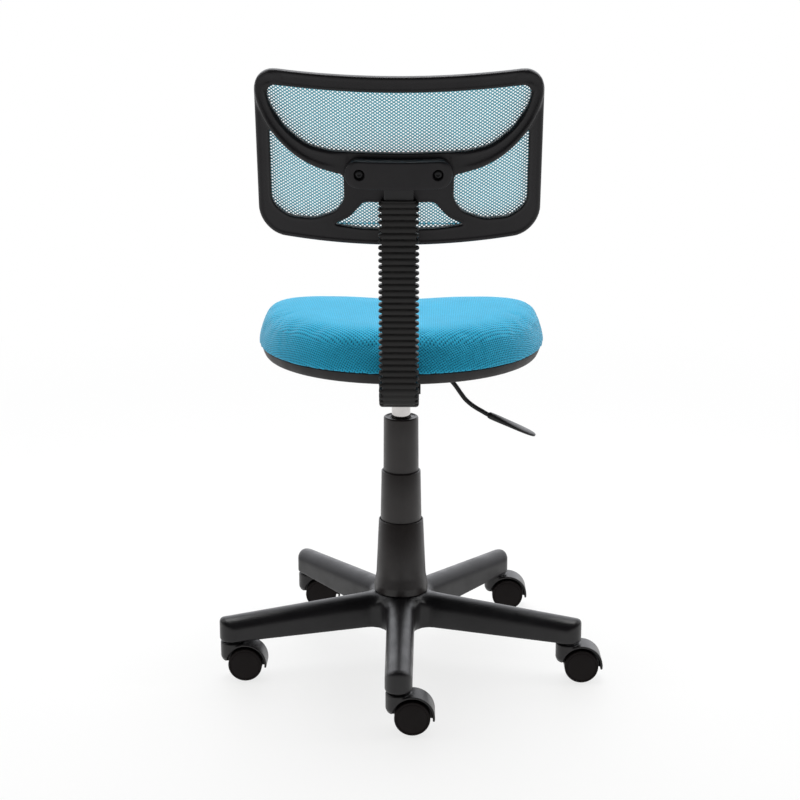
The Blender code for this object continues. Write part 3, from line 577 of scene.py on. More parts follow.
def make_base():
    leg = leg_mesh()
    turns = [Matrix.Rotation(a, 4, "Z") for a in LEG_ANGLES]
    hub = spun([(0, HUB_TOP), (HUB_RADIUS - 0.004, HUB_TOP), (HUB_RADIUS - 0.001, HUB_TOP - 0.0015),
                (HUB_RADIUS, HUB_TOP - 0.0045), (HUB_RADIUS, BASE_LOW + 0.002),
                (HUB_RADIUS - 0.002, BASE_LOW), (0, BASE_LOW)], 96)
    star = joined([leg] * 5 + [hub], turns + [Matrix.Identity(4)])
    star = melted(star, STAR_VOXEL, 0)
    socket = cylinder(0.0056, (LEG_REACH, 0, BASE_LOW - 0.005), (LEG_REACH, 0, 0.088), 24)
    under = rib_hollows() + [socket]
    tools = joined(under * 5, [turn for turn in turns for _ in under])
    bore = cylinder(0.0237, (0, 0, 0.040), (0, 0, 0.125), 96, 0.0249)
    star = cut(star, joined([tools, bore]))
    star = melted(star, STAR_VOXEL, 5)
    star.transform(Matrix.Translation((AXIS.x, AXIS.y, 0)))
    piece("star_base_shell", star, "base_nylon", "base", ["star_base"], sharp=0)


# ------------ casters
HOOD_RADIUS = 0.0315
HOOD_SPACE = 0.0284
HOOD_HALF = 0.0180
WEB_HALF = 0.0065  # half the web between a caster's wheels
BARREL_RADIUS = 0.0182
CASTER_VOXEL = 0.0008


def housing_mesh(trail, wheel_height, top):
    """Barrel and hood, with room for a wheel each side of the web."""
    arc = [radians(a) for a in np.linspace(-9, 140, 52)]
    outer = [(trail + HOOD_RADIUS * cos(a), wheel_height + HOOD_RADIUS * sin(a)) for a in arc]
    inner = [(trail - 0.004, wheel_height - 0.0045), (trail + HOOD_SPACE - 0.004, wheel_height - 0.0045)]
    hood = plate([inner + outer], -HOOD_HALF, HOOD_HALF)
    hood.transform(Matrix.Rotation(pi / 2, 4, "X"))
    profile = [(0, 0.0265), (BARREL_RADIUS - 0.007, 0.0265), (BARREL_RADIUS - 0.0022, 0.0290),
               (BARREL_RADIUS, 0.0340), (BARREL_RADIUS, top - 0.0012), (BARREL_RADIUS - 0.0012, top),
               (0, top)]
    body = cut(hood, spun(profile, 72), operation="UNION")
    tools = []
    for side in (-1, 1):
        start, end = ((trail, side * reach, wheel_height) for reach in (WEB_HALF, 0.030))
        tools.append(cylinder(HOOD_SPACE, start, end, 96))
    crown = cylinder(0.09, (0, 0, top), (0, 0, top + 0.03), 24)
    bore = cylinder(0.0043, (0, 0, 0.033), (0, 0, 0.07), 24)
    axle = cylinder(0.0033, (trail, -0.03, wheel_height), (trail, 0.03, wheel_height), 24)
    return melted(cut(body, *tools, crown, bore, axle), CASTER_VOXEL, 3)


def wheel_mesh(radius, width):
    """Inner face down: a dished disc with a faint ring just inside its edge and a rounded tread."""
    face = width - 0.0002
    corners = [(0, face, 0), (radius - 0.0040, face, 0.001), (radius - 0.0037, face - 0.0004, 0),
               (radius - 0.0033, face - 0.0004, 0), (radius - 0.0030, width, 0.0003), (radius, width, 0.0018),
               (radius, 0, 0.0010), (radius - 0.0030, 0, 0), (radius - 0.0036, 0.0040, 0.001),
               (0.0085, 0.0040, 0.001), (0.0080, 0, 0), (0.0034, 0, 0), (0.0034, width - 0.0017, 0),
               (0, width - 0.0017, 0)]
    return spun(rounded(corners, 5, closed=False), 96)


def make_casters():
    stem, wheel = middle("caster_1_stem"), middle("caster_1_wheel_near")
    trail, height = wheel.x - stem.x, wheel.z
    low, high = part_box("caster_1_wheel_near")
    width = high.y - low.y
    housing = housing_mesh(trail, height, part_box("caster_1_housing")[1].z)
    disc = wheel_mesh(height, width)
    for name in CASTERS:
        stem = middle(f"{name}_stem")
        piece(f"{name}_hood", housing.copy(), "caster_plastic", name, [f"{name}_housing"], 0,
              Matrix.Translation((stem.x, stem.y, 0)))
        for side, end in (("near", 1), ("far", -1)):
            node = f"{name}_wheel_{side}"
            low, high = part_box(node)
            inner = high.y if end > 0 else low.y
            turn = Matrix.Rotation(end * pi / 2, 4, "X")
            place = Matrix.Translation((middle(node).x, inner, height)) @ turn
            piece(f"{name}_disc_{side}", disc.copy(), "wheel_plastic", node, [node], 30, place)


# ------------ column
def turned(name, profile, slot, body, node, sharp=50, sides=128):
    """A piece turned round the column's axis, in place of a CAD node."""
    place = Matrix.Translation((AXIS.x, AXIS.y, 0))
    piece(name, spun(profile, sides, ring=True), slot, body, [node], sharp, place)


def make_covers():
    """The column cover's three tiers, each a thin shell with a lip at its top."""
    (_, _, low), (_, _, high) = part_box("cover_bottom")
    corners = [(0.0335, high, 0), (0.0374, 0.1360, 0.05), (0.0405, 0.1200, 0.012), (0.0405, low, 0)]
    lip = [Vector((0.0321, high)), Vector((0.0329, high - 0.0002)), Vector((0.0335, high - 0.0010))]
    inside = [(0.0385, low), (0.0385, 0.1180), (0.0355, 0.1340), (0.0319, high - 0.003)]
    profile = lip + rounded(corners, 8, closed=False)[1:] + inside
    turned("cover_bottom_shell", profile, "cover_plastic", "base", "cover_bottom")

    (_, _, low), (_, _, high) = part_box("cover_middle")
    profile = [(0.0270, high), (0.0280, high), (0.0289, high - 0.0003), (0.0293, high - 0.0012),
               (0.0313, low + 0.001), (0.0310, low), (0.0298, low), (0.0279, high - 0.003),
               (0.0270, high - 0.0012)]
    turned("cover_middle_shell", profile, "cover_plastic", "cover_middle", "cover_middle")

    (_, _, low), (_, _, high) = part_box("cover_top")
    profile = [(0.0148, high - 0.0010), (0.0160, high - 0.0003), (0.0175, high - 0.0010),
               (0.0215, high - 0.0010), (0.0228, high), (0.0246, high - 0.0002), (0.0255, high - 0.0010),
               (0.0258, high - 0.0024), (0.0265, low + 0.001), (0.0262, low), (0.0253, low),
               (0.0250, high - 0.004), (0.0150, high - 0.004)]
    turned("cover_top_shell", profile, "cover_plastic", "cover_top", "cover_top")


def make_spindle():
    """The chromed spindle, blind above its bore, and the taper socket round its top."""
    low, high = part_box("gas_spindle")
    radius, bore, bore_top = (high.x - low.x) / 2, 0.0120, 0.398
    profile = [(0.0034, high.z), (radius - 0.0012, high.z), (radius - 0.0006, high.z - 0.0010),
               (radius, 0.413), (radius, low.z), (bore, low.z), (bore, bore_top), (0.0034, bore_top)]
    turned("spindle_chromed", profile, "chrome", "seat", "gas_spindle", 40)

    low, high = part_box("taper_socket")
    radius = (high.x - low.x) / 2
    profile = [(radius - 0.0020, high.z), (radius - 0.0004, high.z - 0.0030), (radius, high.z - 0.0060),
               (radius - 0.0012, low.z + 0.0015), (radius - 0.0018, low.z + 0.0004), (radius - 0.0024, low.z),
               (0.01425, low.z), (0.0138, high.z)]
    turned("taper_socket_turned", profile, "black_steel", "seat", "taper_socket", 40, 96)


# ------------ J-bar's sleeve
BAR_RUN, BAR_BEND, BAR_LEAN, BAR_RISE = 0.1676, 0.030, radians(3), 0.2270
TOP_BEND, BAR_END = 0.150, 0.048
BAR_HALF_THICK = 0.0030
SLEEVE_FROM, SLEEVE_SHORT, SLEEVE_PITCH = 0.110, 0.0465, 0.0084
SIDE_SHARE, FACE_SHARE = 0.62, 0.90  # a rib's share of the pitch at the sides and on the face


def bar_segments():
    """Length, start heading and end heading of each stretch; a heading of pi runs along -Y."""
    upright, tilted = pi / 2 + BAR_LEAN, pi / 2 + BACK_TILT
    return [(BAR_RUN, pi, pi), (BAR_BEND * (pi - upright), pi, upright), (BAR_RISE, upright, upright),
            (TOP_BEND * (tilted - upright), upright, tilted), (BAR_END, tilted, tilted)]


def bar_point(distance):
    low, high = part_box("j_bar")
    y, z = high.y, low.z + BAR_HALF_THICK
    left = distance
    segments = bar_segments()
    for number, (length, start, end) in enumerate(segments):
        part = left if number == len(segments) - 1 else min(left, length)
        if start == end:
            y, z, heading = y + part * cos(start), z + part * sin(start), start
        else:
            radius = length / (end - start)
            heading = start + part / radius
            y += radius * (sin(heading) - sin(start))
            z -= radius * (cos(heading) - cos(start))
        left -= part
        if left <= 0:
            break
    return y, z, heading


def bar_ring(distance, outline):
    y, z, heading = bar_point(distance)
    return [(AXIS.x + a, y - b * sin(heading), z + b * cos(heading)) for a, b in outline]


def round_box(half_width, half_depth, radius, steps=4):
    corners = [(half_width, -half_depth, radius), (half_width, half_depth, radius),
               (-half_width, half_depth, radius), (-half_width, -half_depth, radius)]
    return rounded(corners, steps)


def make_bellows():
    length = sum(stretch for stretch, _, _ in bar_segments())
    last = length - SLEEVE_SHORT
    count = round((last - SLEEVE_FROM) / SLEEVE_PITCH)
    pitch = (last - SLEEVE_FROM) / count
    steps = 16
    rings = []
    for step in range(count * steps + 1):
        lobe = 2 * ((step / steps) % 1 - 0.5)
        end = min(step, count * steps - step) / steps
        fade = 0.35 + 0.65 * smoothstep(end, 0, 0.8)
        side, face = (fade * sqrt(max(0, 1 - (lobe / share)**2)) for share in (SIDE_SHARE, FACE_SHARE))
        outline = round_box(0.0224 + 0.0045 * side, 0.0064 + 0.0008 * face, 0.0034 + 0.0008 * side)
        rings.append(bar_ring(SLEEVE_FROM + step * pitch / steps, outline))
    lining = round_box(0.0205, 0.0040, 0.0010)
    inner = [bar_ring(SLEEVE_FROM + (last - SLEEVE_FROM) * i / 60, lining) for i in range(60, -1, -1)]
    piece("bellows_sleeve", skin(rings + inner, closed=True), "rubber", "seat", ["bellows"], 50)


# ------------ back
def on_back(point):
    """From the back's own axes (x across, y down its slope, z forward) to the frame."""
    across, down, out = point
    out += across * across / (2 * BACK_CURVE)
    return Vector((BACK_TOP.x + across,
                   BACK_TOP.y + down * sin(BACK_TILT) + out * cos(BACK_TILT),
                   BACK_TOP.z - down * cos(BACK_TILT) + out * sin(BACK_TILT)))


BACK_HALF = 0.188
BACK_THICK = 0.010


def back_outline(inset=0.0, steps=12):
    wide, low = BACK_HALF - inset, BACK_HEIGHT - inset
    return rounded(mirrored([(wide, inset, 0.030 - inset), (wide, low, 0.036 - inset)]), steps)


UPPER_WINDOW = mirrored([(0.1740, 0.0200, 0.012), (0.1665, 0.0475, 0.050), (0.1475, 0.0742, 0.060),
                         (0.1200, 0.0942, 0.060), (0.0880, 0.0992, 0.060)])
LOWER_WINDOW = mirrored([(0.0460, 0.1660, 0.010), (0.0560, 0.1780, 0.020), (0.0660, 0.1890, 0.022),
                         (0.0870, 0.1995, 0.0008), (0.0500, 0.2022, 0.050)])
SIDE_WINDOW = [(0.1690, 0.0775, 0.002), (0.1370, 0.1085, 0.060), (0.1000, 0.1245, 0.050),
               (0.0720, 0.1290, 0.009), (0.0716, 0.1645, 0.020), (0.0830, 0.1812, 0.025),
               (0.1120, 0.1940, 0.045), (0.1450, 0.1955, 0.030), (0.1690, 0.1820, 0.022)]
# an arm of the frame, from the top corner to the bracket: outer edge, inner edge, how far it stands proud
ARM = [((0.150, 0.0020), (0.150, 0.0200), 0.0004), ((0.172, 0.0040), (0.164, 0.0205), 0.0012),
       ((0.1840, 0.0145), (0.1718, 0.0250), 0.0026), ((0.1872, 0.0300), (0.1712, 0.0345), 0.0040),
       ((0.1846, 0.0460), (0.1665, 0.0480), 0.0050), ((0.1782, 0.0620), (0.1585, 0.0625), 0.0054),
       ((0.1688, 0.0780), (0.1468, 0.0757), 0.0054), ((0.1540, 0.0945), (0.1340, 0.0865), 0.0050),
       ((0.1370, 0.1085), (0.1190, 0.0948), 0.0040), ((0.1185, 0.1185), (0.1035, 0.0988), 0.0028),
       ((0.1000, 0.1250), (0.0880, 0.1005), 0.0016), ((0.0720, 0.1305), (0.0660, 0.1010), 0.0003)]
# across an arm: share of its width, share of how proud it stands, extra height of the beads along its edges
ARM_SECTION = [(0.00, 0.0, 0.0), (0.00, 0.50, 0.0), (0.05, 0.86, 0.0002), (0.12, 1.0, 0.0007),
               (0.20, 1.0, 0.0009), (0.29, 0.98, 0.0004), (0.38, 0.86, -0.0004), (0.54, 0.72, -0.0008),
               (0.72, 0.62, -0.0004), (0.84, 0.60, 0.0006), (0.92, 0.52, 0.0006), (0.98, 0.30, 0.0),
               (1.00, 0.0, 0.0)]
BACK_VOXEL = 0.00125


def side_window(side):
    return rounded([(side * x, t, radius) for x, t, radius in SIDE_WINDOW][::side], 8)


def arm_mesh(side):
    outer = flowing([(*o, 0) for o, _, _ in ARM], 5)
    inner = flowing([(*i, 0) for _, i, _ in ARM], 5)
    proud = flowing([(r, 0, 0) for _, _, r in ARM], 5)
    rings = []
    for edge, far, rise in zip(outer, inner, proud):
        ring = []
        for share, height, bead in ARM_SECTION:
            place = edge.lerp(far, share)
            fade = min(1, rise.x / 0.0015)
            ring.append((side * place.x, place.y, -rise.x * height - bead * fade))
        ring = [(side * edge.x, edge.y, BACK_THICK / 2)] + ring + [(side * far.x, far.y, BACK_THICK / 2)]
        rings.append(ring)
    return skin(rings)


def offset_path(points, distance):
    """A closed flat path moved sideways; positive is outward."""
    count = len(points)
    area = sum(points[i - 1].x * points[i].y - points[i].x * points[i - 1].y for i in range(count))
    sign = 1 if area > 0 else -1
    moved_points = []
    for i in range(count):
        along = (points[(i + 1) % count] - points[i - 1]).normalized()
        moved_points.append(points[i] + Vector((along.y, -along.x)) * sign * distance)
    return moved_points


def thinned(points, gap=0.0012):
    kept = [points[0]]
    for point in points[1:]:
        if (point - kept[-1]).length > gap:
            kept.append(point)
    return kept


def make_back_frame():
    windows = [rounded(UPPER_WINDOW, 8), rounded(LOWER_WINDOW, 8), side_window(1), side_window(-1)]
    slab = plate([back_outline()] + windows, 0.0004, BACK_THICK - 0.0001)
    rim = tube([(*p, 0.0022) for p in back_outline(0.0036)], 0.0032, sides=16)
    beads = [slab, rim, arm_mesh(1), arm_mesh(-1)]
    for window in windows[1:]:
        path = offset_path(thinned(window), 0.0024)
        beads.append(tube([(*p, 0.0019) for p in path], 0.0024))
    top = [p for p in offset_path(thinned(windows[0]), 0.0026) if p.y < 0.026]
    top.sort(key=lambda p: p.x)
    beads.append(tube([(*p, 0.0019) for p in top], 0.0024, closed=False))
    mesh = melted(joined(beads), BACK_VOXEL, 5)
    piece("back_frame_moulded", moved(mesh, on_back), "frame_plastic", "seat", ["back_frame"], sharp=0)


NET_CELL = (0.0060, 0.0042)  # width and height of one diamond
NET_OPEN = 0.60  # a hole's width as a share of its cell
NET_DEPTH = 0.0007
NET_INSET = 0.0145  # from the back's edge, behind the frame


def inside(point, outline):
    """Whether a flat point lies inside a closed outline."""
    x, y = point
    hit = False
    for (ax, ay), (bx, by) in zip(outline, outline[1:] + outline[:1]):
        if (ay > y) != (by > y) and x < (bx - ax) * (y - ay) / (by - ay) + ax:
            hit = not hit
    return hit


def make_net():
    """The knitted back: a sheet of staggered diamond cells, each with a real hole, under one hem."""
    edge = [tuple(p) for p in back_outline(NET_INSET)]
    half, tall = NET_CELL[0] / 2, NET_CELL[1] / 2
    bm = bmesh.new()
    corners = {}

    def corner(i, j):
        if (i, j) not in corners:
            corners[i, j] = bm.verts.new((i * half, BACK_HEIGHT / 2 + j * tall, 0))
        return corners[i, j]

    across, down = int(BACK_HALF / half) + 1, int(BACK_HEIGHT / 2 / tall) + 1
    for i in range(-across, across + 1):
        for j in range(-down, down + 1):
            if (i + j) % 2:
                continue
            centre = Vector((i * half, BACK_HEIGHT / 2 + j * tall, 0))
            if not inside(centre.to_2d(), edge):
                continue
            outer = [corner(i + 1, j), corner(i, j + 1), corner(i - 1, j), corner(i, j - 1)]
            inner = [bm.verts.new(centre + (vert.co - centre) * NET_OPEN) for vert in outer]
            for k in range(4):
                bm.faces.new((outer[k], outer[(k + 1) % 4], inner[(k + 1) % 4], inner[k]))
    threads = sum(face.calc_area() for face in bm.faces)
    item = temporary(finish_mesh(bm, "net"))
    mod = item.modifiers.new("depth", "SOLIDIFY")
    mod.thickness = NET_DEPTH
    mod.offset = 0
    net = baked(item)
    out = BACK_THICK + 0.0009
    net = moved(net, lambda p: on_back((p.x, p.y, p.z + out)))
    sheet = piece("back_net", net, "back_mesh", "seat", ["mesh_panel"], 50)
    hem = tube([(*p, out + 0.0001) for p in back_outline(NET_INSET - 0.0005)], 0.0009)
    hem_piece = piece("back_net_hem", moved(hem, on_back), "back_mesh", "seat", (), 50)


# ------------ bracket and its screws
BRACKET_T, BRACKET_HALF, BRACKET_HALF_HEIGHT, BRACKET_THICK = 0.1244, 0.0695, 0.0187, 0.0160
BRACKET_CORNER = 0.0175
SCREW_X, SCREW_T, RECESS = 0.0506, 0.1236, 0.0070
GAP = 0.0003
BRACKET_VOXEL = 0.0009


def make_bracket():
    corners = [(BRACKET_HALF, BRACKET_T - BRACKET_HALF_HEIGHT, BRACKET_CORNER),
               (BRACKET_HALF, BRACKET_T + BRACKET_HALF_HEIGHT, BRACKET_CORNER)]
    outline = rounded(mirrored(corners), 12)
    low, high = -BRACKET_THICK - GAP, -GAP
    body = plate([outline], low + 0.0002, high)
    bm = bmesh.new()
    bm.from_mesh(body)
    bmesh.ops.subdivide_edges(bm, edges=bm.edges[:], cuts=1)
    body = finish_mesh(bm)
    centre = Vector((0, BRACKET_T))
    step = plate([[centre + (p - centre) * 0.93 for p in outline]], low - 0.0006, low + 0.003)
    slot = plate([[Vector(p) for p in ((-0.0194, 0.112), (0.0194, 0.112), (0.0194, 0.20), (-0.0194, 0.20))]],
                 -0.0115, -0.0047)
    tools = [slot]
    for side in (-1, 1):
        x = side * SCREW_X
        tools.append(cylinder(RECESS, (x, SCREW_T, -0.03), (x, SCREW_T, low + 0.0045), 48))
        tools.append(cylinder(0.0028, (x, SCREW_T, -0.03), (x, SCREW_T, 0.02), 24))
    body = melted(joined([body, step]), BRACKET_VOXEL, 4)
    mesh = melted(cut(body, *tools), BRACKET_VOXEL, 1)
    piece("back_bracket_moulded", moved(mesh, on_back), "frame_plastic", "seat", ["back_bracket"], sharp=0)


def screw_mesh(head_radius, head_height, shank_radius, shank_end, socket):
    """A button-head screw along +Z, its head's seat at z = 0, with a hex socket."""
    crown = [(0, -head_height), (head_radius * 0.55, -head_height), (head_radius * 0.85, -head_height * 0.72),
             (head_radius, -head_height * 0.30), (head_radius, 0), (shank_radius, 0),
             (shank_radius, shank_end - 0.0006), (shank_radius - 0.0006, shank_end), (0, shank_end)]
    hexagon = cylinder(socket, (0, 0, -head_height - 0.001), (0, 0, -head_height * 0.25), 6)
    return cut(spun(crown, 48), hexagon)


def make_screws():
    bow = SCREW_X * SCREW_X / (2 * BACK_CURVE)
    head = bow - BRACKET_THICK - GAP + 0.0045 - GAP
    turn = Matrix.Identity(4)
    down, out = (0, sin(BACK_TILT), -cos(BACK_TILT)), (0, cos(BACK_TILT), sin(BACK_TILT))
    for column, axis in enumerate(((1, 0, 0), down, out)):
        turn.col[column] = (*axis, 0)
    turn.col[3] = (*BACK_TOP, 1)
    for side, name in ((-1, "left"), (1, "right")):
        screw = screw_mesh(0.0058, 0.0032, 0.0025, 0.0070 - head, 0.0026)
        screw.transform(turn @ Matrix.Translation((side * SCREW_X, SCREW_T, head)))
        piece(f"hex_screw_{name}", screw, "dark_screw", "seat", [f"bracket_screw_{name}"], 35)


# ------------ lever
LEVER_RADIUS = 0.0034
PADDLE = [(0.000, 0.0050, 0.0046), (0.003, 0.0062, 0.0050), (0.014, 0.0080, 0.0050), (0.024, 0.0102, 0.0045),
          (0.034, 0.0124, 0.0040), (0.046, 0.0142, 0.0035), (0.056, 0.0148, 0.0031), (0.066, 0.0136, 0.0028),
          (0.073, 0.0104, 0.0025), (0.0765, 0.0060, 0.0020), (0.0775, 0.0022, 0.0010)]


def make_lever():
    pivot = next(Vector(j["pos_m"]) for j in frame["joints"] if j["name"] == "lever_tilt")
    drop = pivot.z
    bends = [(-0.005, 0), (0.030, 0), (0.042, -0.0012), (0.052, -0.0050), (0.064, -0.0130), (0.0785, -0.0290),
             (0.0880, -0.0425), (0.0947, -0.0515), (0.1020, -0.0585), (0.1109, -0.0650), (0.1200, -0.0703),
             (0.1290, -0.0755), (0.1460, -0.0830)]
    route = [(AXIS.x + x, AXIS.y, drop + z) for x, z in bends]
    rod = tube(flowing(route, 5), LEVER_RADIUS, closed=False, sides=20)
    piece("lever_rod_bent", rod, "black_steel", "lever", ["lever_rod"], 40)
    neck, end = Vector(route[-2]), Vector(route[-1])
    along = (end - neck).normalized()
    up = Vector((-along.z, 0, along.x))
    rings = []
    for reach, half_width, half_thick in PADDLE:
        ring = []
        for i in range(28):
            a = 2 * pi * i / 28
            wide = half_width * abs(cos(a)) ** 0.75 * (1 if cos(a) > 0 else -1)
            tall = half_thick * abs(sin(a)) ** 0.75 * (1 if sin(a) > 0 else -1)
            ring.append(neck + along * reach + Vector((0, wide, 0)) + up * tall)
        rings.append(ring)
    grip = temporary(skin(rings))
    grip.modifiers.new("round", "SUBSURF").levels = 1
    piece("lever_paddle_moulded", baked(grip), "black_plastic", "lever", ["lever_paddle"], 60)


# ------------ seat
SEAT_Y = 0.035 + AXIS.y
SEAT_HALF, SEAT_REAR, SEAT_FRONT = 0.2065, 0.2295, 0.168
CUSHION_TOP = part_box("seat_cushion")[1].z


def seat_point(turn, inset):
    power = 2 / 2.1 if sin(turn) < 0 else 2 / 2.7
    depth = SEAT_REAR if sin(turn) < 0 else SEAT_FRONT
    x = (SEAT_HALF - inset) * abs(cos(turn))**power * (1 if cos(turn) > 0 else -1)
    y = (depth - inset) * abs(sin(turn))**power * (1 if sin(turn) > 0 else -1)
    return AXIS.x + x, SEAT_Y + y


def seat_ring(inset, height, count=120):
    return [(*seat_point(2 * pi * (i + 0.5) / count, inset), height) for i in range(count)]


def crown(x, y):
    """How far the top lies under its highest level: a dish in the middle and a waterfall at the front."""
    across, along = x - AXIS.x, y - AXIS.y
    dish = 0.0050 * np.exp(-(across / 0.065)**2) * smoothstep(along, -0.175, -0.06)
    shoulder = 0.0012 * smoothstep(abs(across), 0.130, 0.195)
    return dish + shoulder + 1.0 * max(0, along - 0.02)**2


def cushion_rings():
    """From under the rim's edge, out over it, up the side and across the crowned top."""
    stations = [(0.0100, 0.0030), (0.0006, 0.0026), (-0.0012, -0.0008), (-0.0030, 0.0000), (-0.0036, 0.0060),
                (-0.0034, 0.0120), (-0.0024, 0.0180), (-0.0004, 0.0240), (0.0020, 0.0300), (0.0048, 0.0358),
                (0.0088, 0.0408), (0.0150, 0.0450), (0.0240, 0.0484), (0.0370, 0.0506), (0.0560, 0.0518),
                (0.0850, 0.0524), (0.1200, 0.0526), (0.1560, 0.0526)]
    rise = CUSHION_TOP - PAN_HIGH
    rings = []
    for inset, height in stations:
        ring = []
        share = max(0, height) / stations[-1][1]
        for x, y, _ in seat_ring(inset, 0):
            ring.append((x, y, PAN_HIGH + min(height, 0) + rise * share - crown(x, y) * share**1.5))
        rings.append(ring)
    return rings


PAD_VOXEL, PAD_PRESSURE, PAD_FRAMES = 0.0042, 4, 20
PAD_SWELL = 0.004  # no point of the pad moves further than this


def inflated(mesh):
    """A light cloth simulation that fills the pad with air."""
    item = temporary(mesh)
    mod = item.modifiers.new("remesh", "REMESH")
    mod.mode = "VOXEL"
    mod.voxel_size = PAD_VOXEL
    mesh = baked(item)
    rest = np.array([v.co for v in mesh.vertices])
    item = temporary(mesh)
    cloth = item.modifiers.new("cloth", "CLOTH")
    cloth.settings.use_pressure = True
    cloth.settings.uniform_pressure_force = PAD_PRESSURE
    cloth.settings.effector_weights.gravity = 0
    cloth.settings.quality = 5
    cloth.point_cache.frame_start, cloth.point_cache.frame_end = 1, PAD_FRAMES
    for number in range(1, PAD_FRAMES + 1):
        SCENE.frame_set(number)
    mesh = baked(item)
    SCENE.frame_set(1)
    moved_to = np.array([v.co for v in mesh.vertices])
    step = moved_to - rest
    length = np.linalg.norm(step, axis=1, keepdims=True)
    step *= np.minimum(1, PAD_SWELL / np.maximum(length, 1e-9))
    hold = np.clip((rest[:, 2:3] - PAN_HIGH - 0.006) / 0.020, 0, 1)
    for vertex, place in zip(mesh.vertices, rest + step * hold):
        vertex.co = place
    return mesh


def add_cloth_coordinates(mesh):
    """The fabric's own flat coordinates: x and y on top, carried on down the sides."""
    layer = mesh.attributes.new("cloth", "FLOAT_VECTOR", "POINT")
    values = []
    for vertex in mesh.vertices:
        flat = Vector((vertex.co.x - AXIS.x, vertex.co.y - SEAT_Y))
        below = max(0, CUSHION_TOP - 0.018 - vertex.co.z)
        flat += flat.normalized() * below
        values += [flat.x, flat.y, 0]
    layer.data.foreach_set("vector", values)


def make_seat():
    mesh = skin(cushion_rings())
    mesh = inflated(mesh)
    item = temporary(mesh)
    mod = item.modifiers.new("smooth", "SMOOTH")
    mod.iterations = 2
    mod = item.modifiers.new("round", "SUBSURF")
    mod.levels = mod.render_levels = 1
    mesh = baked(item)
    add_cloth_coordinates(mesh)
    cushion = piece("seat_cushion_padded", mesh, "seat_fabric", "seat", ["seat_cushion"], sharp=0)

    low, rise = PAN_LOW, PAN_HIGH - PAN_LOW
    profile = [(0.0120, low), (0.0085, low + 0.0004), (0.0062, low + 0.0014), (0.0045, low + 0.0032),
               (0.0022, low + rise * 0.5), (0.0006, low + rise * 0.85), (0.0004, PAN_HIGH - 0.0008),
               (0.0012, PAN_HIGH), (0.0046, PAN_HIGH), (0.0050, PAN_HIGH - 0.0006), (0.0086, low + 0.0030)]
    pan = skin([seat_ring(inset, z, 160) for inset, z in profile])
    bolts = [middle(f"seat_bolt_{i}") for i in range(1, 5)]
    holes = [cylinder(0.0034, (bolt.x, bolt.y, low - 0.01), (bolt.x, bolt.y, PAN_HIGH + 0.01), 24)
             for bolt in bolts]
    piece("seat_pan_moulded", cut(pan, *holes), "pan_plastic", "seat", ["seat_pan"], 35)


# ------------ studio
FLOOR_HALF = 30.0
WHITE_FROM, WHITE_TO = 0.95, 2.6  # the floor fades to white between these distances


def make_floor():
    """A plain pale floor, lit from below its skin, that fades to white with distance."""
    bm = bmesh.new()
    bmesh.ops.create_grid(bm, x_segments=1, y_segments=1, size=FLOOR_HALF)
    floor = bpy.data.objects.new("studio_floor", finish_mesh(bm, "studio_floor"))
    SCENE.collection.objects.link(floor)
    floor.location = (0, 0, -0.0002)
    n = Nodes("studio_floor", (0.18, 0.18, 0.178), 0.6)
    n.set(Specular_IOR_Level=0.1, Emission_Color=(1, 1, 0.995, 1), Emission_Strength=0.77)
    reach = n.add("ShaderNodeVectorMath", operation="LENGTH")
    n.wire(n.coords, reach.inputs[0])
    glow = n.add("ShaderNodeEmission")
    glow.inputs["Color"].default_value = (1, 1, 1, 1)
    glow.inputs["Strength"].default_value = 1.0
    mix = n.add("ShaderNodeMixShader")
    n.wire(n.span(reach.outputs["Value"], WHITE_FROM, WHITE_TO, 0, 1, smooth=True), mix.inputs[0])
    n.wire(n.shader.outputs[0], mix.inputs[1])
    n.wire(glow.outputs[0], mix.inputs[2])
    n.wire(mix.outputs[0], n.tree.nodes["Material Output"].inputs["Surface"])
    floor.data.materials.append(n.mat)


WORLD_DIM, WORLD_BACKDROP = 0.05, 1.8  # light from behind the camera, and from the white backdrop


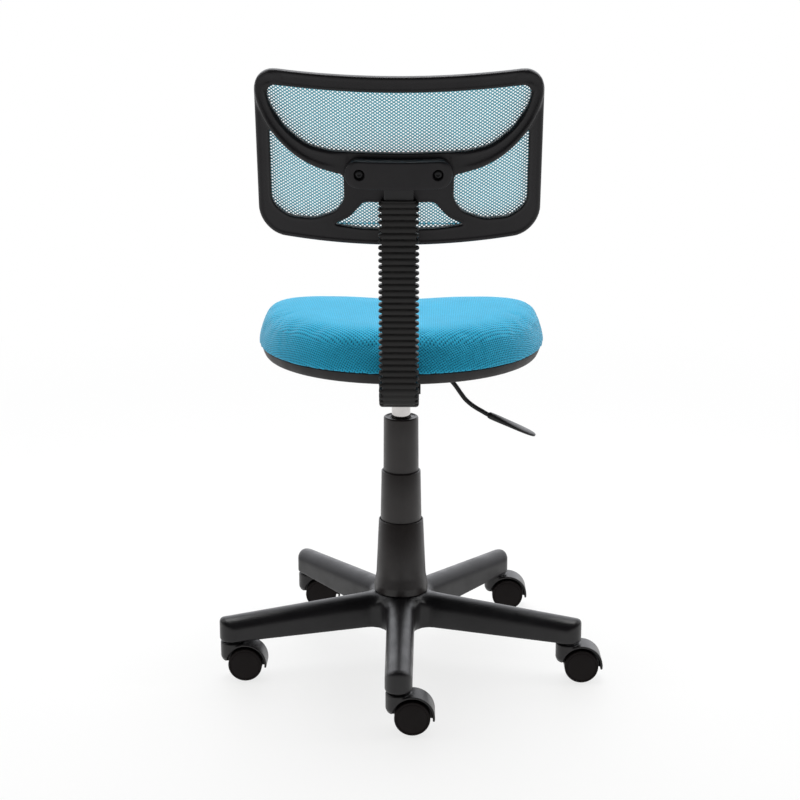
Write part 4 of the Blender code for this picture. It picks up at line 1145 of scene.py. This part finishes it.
def make_world():
    world = bpy.data.worlds.new("studio")
    SCENE.world = world
    world.use_nodes = True
    tree = world.node_tree
    tree.nodes["Background"].inputs["Color"].default_value = (0.95, 0.96, 1.0, 1)
    ways = tree.nodes.new("ShaderNodeTexCoord")
    parts = tree.nodes.new("ShaderNodeSeparateXYZ")
    tree.links.new(ways.outputs["Generated"], parts.inputs[0])
    glow = tree.nodes.new("ShaderNodeMapRange")
    glow.interpolation_type = "SMOOTHSTEP"
    limits = {"From Min": 0.15, "From Max": 0.75, "To Min": WORLD_DIM, "To Max": WORLD_BACKDROP}
    for socket, number in limits.items():
        glow.inputs[socket].default_value = number
    tree.links.new(parts.outputs["Y"], glow.inputs["Value"])
    tree.links.new(glow.outputs["Result"], tree.nodes["Background"].inputs["Strength"])
    seen = tree.nodes.new("ShaderNodeBackground")
    seen.inputs["Color"].default_value = (1, 1, 1, 1)
    path = tree.nodes.new("ShaderNodeLightPath")
    mix = tree.nodes.new("ShaderNodeMixShader")
    tree.links.new(path.outputs["Is Camera Ray"], mix.inputs[0])
    tree.links.new(tree.nodes["Background"].outputs[0], mix.inputs[1])
    tree.links.new(seen.outputs[0], mix.inputs[2])
    tree.links.new(mix.outputs[0], tree.nodes["World Output"].inputs["Surface"])


def add_light(name, place, target, size, power, colour=(1, 1, 1)):
    data = bpy.data.lights.new(name, "AREA")
    data.shape = "RECTANGLE"
    data.size, data.size_y = size
    data.energy = power
    data.color = colour
    item = bpy.data.objects.new(name, data)
    SCENE.collection.objects.link(item)
    item.location = place
    item.rotation_euler = (Vector(target) - Vector(place)).to_track_quat("-Z", "Y").to_euler()
    item.visible_camera = False


def make_studio():
    make_floor()
    make_world()
    add_light("softbox_left", (-1.9, 0.1, 1.7), (0, 0, 0.5), (0.5, 1.6), 10)
    add_light("softbox_right", (2.0, 0.3, 1.8), (0, 0, 0.5), (0.5, 1.6), 12)
    add_light("softbox_top", (0.0, 0.35, 2.4), (0, 0.05, 0.3), (1.5, 1.1), 36)
    data = bpy.data.cameras.new("camera")
    data.lens, data.sensor_width = 74.295, 36
    camera = bpy.data.objects.new("camera", data)
    SCENE.collection.objects.link(camera)
    camera.location = (0.0158, -2.3448, 1.009)
    camera.rotation_euler = (radians(90 - 14.28), 0, radians(0.8))
    SCENE.camera = camera
    SCENE.view_settings.view_transform = "Standard"


def main():
    paint_cad()
    make_base()
    make_casters()
    make_covers()
    make_spindle()
    make_bellows()
    make_back_frame()
    make_net()
    make_bracket()
    make_screws()
    make_lever()
    make_seat()
    make_studio()


main()
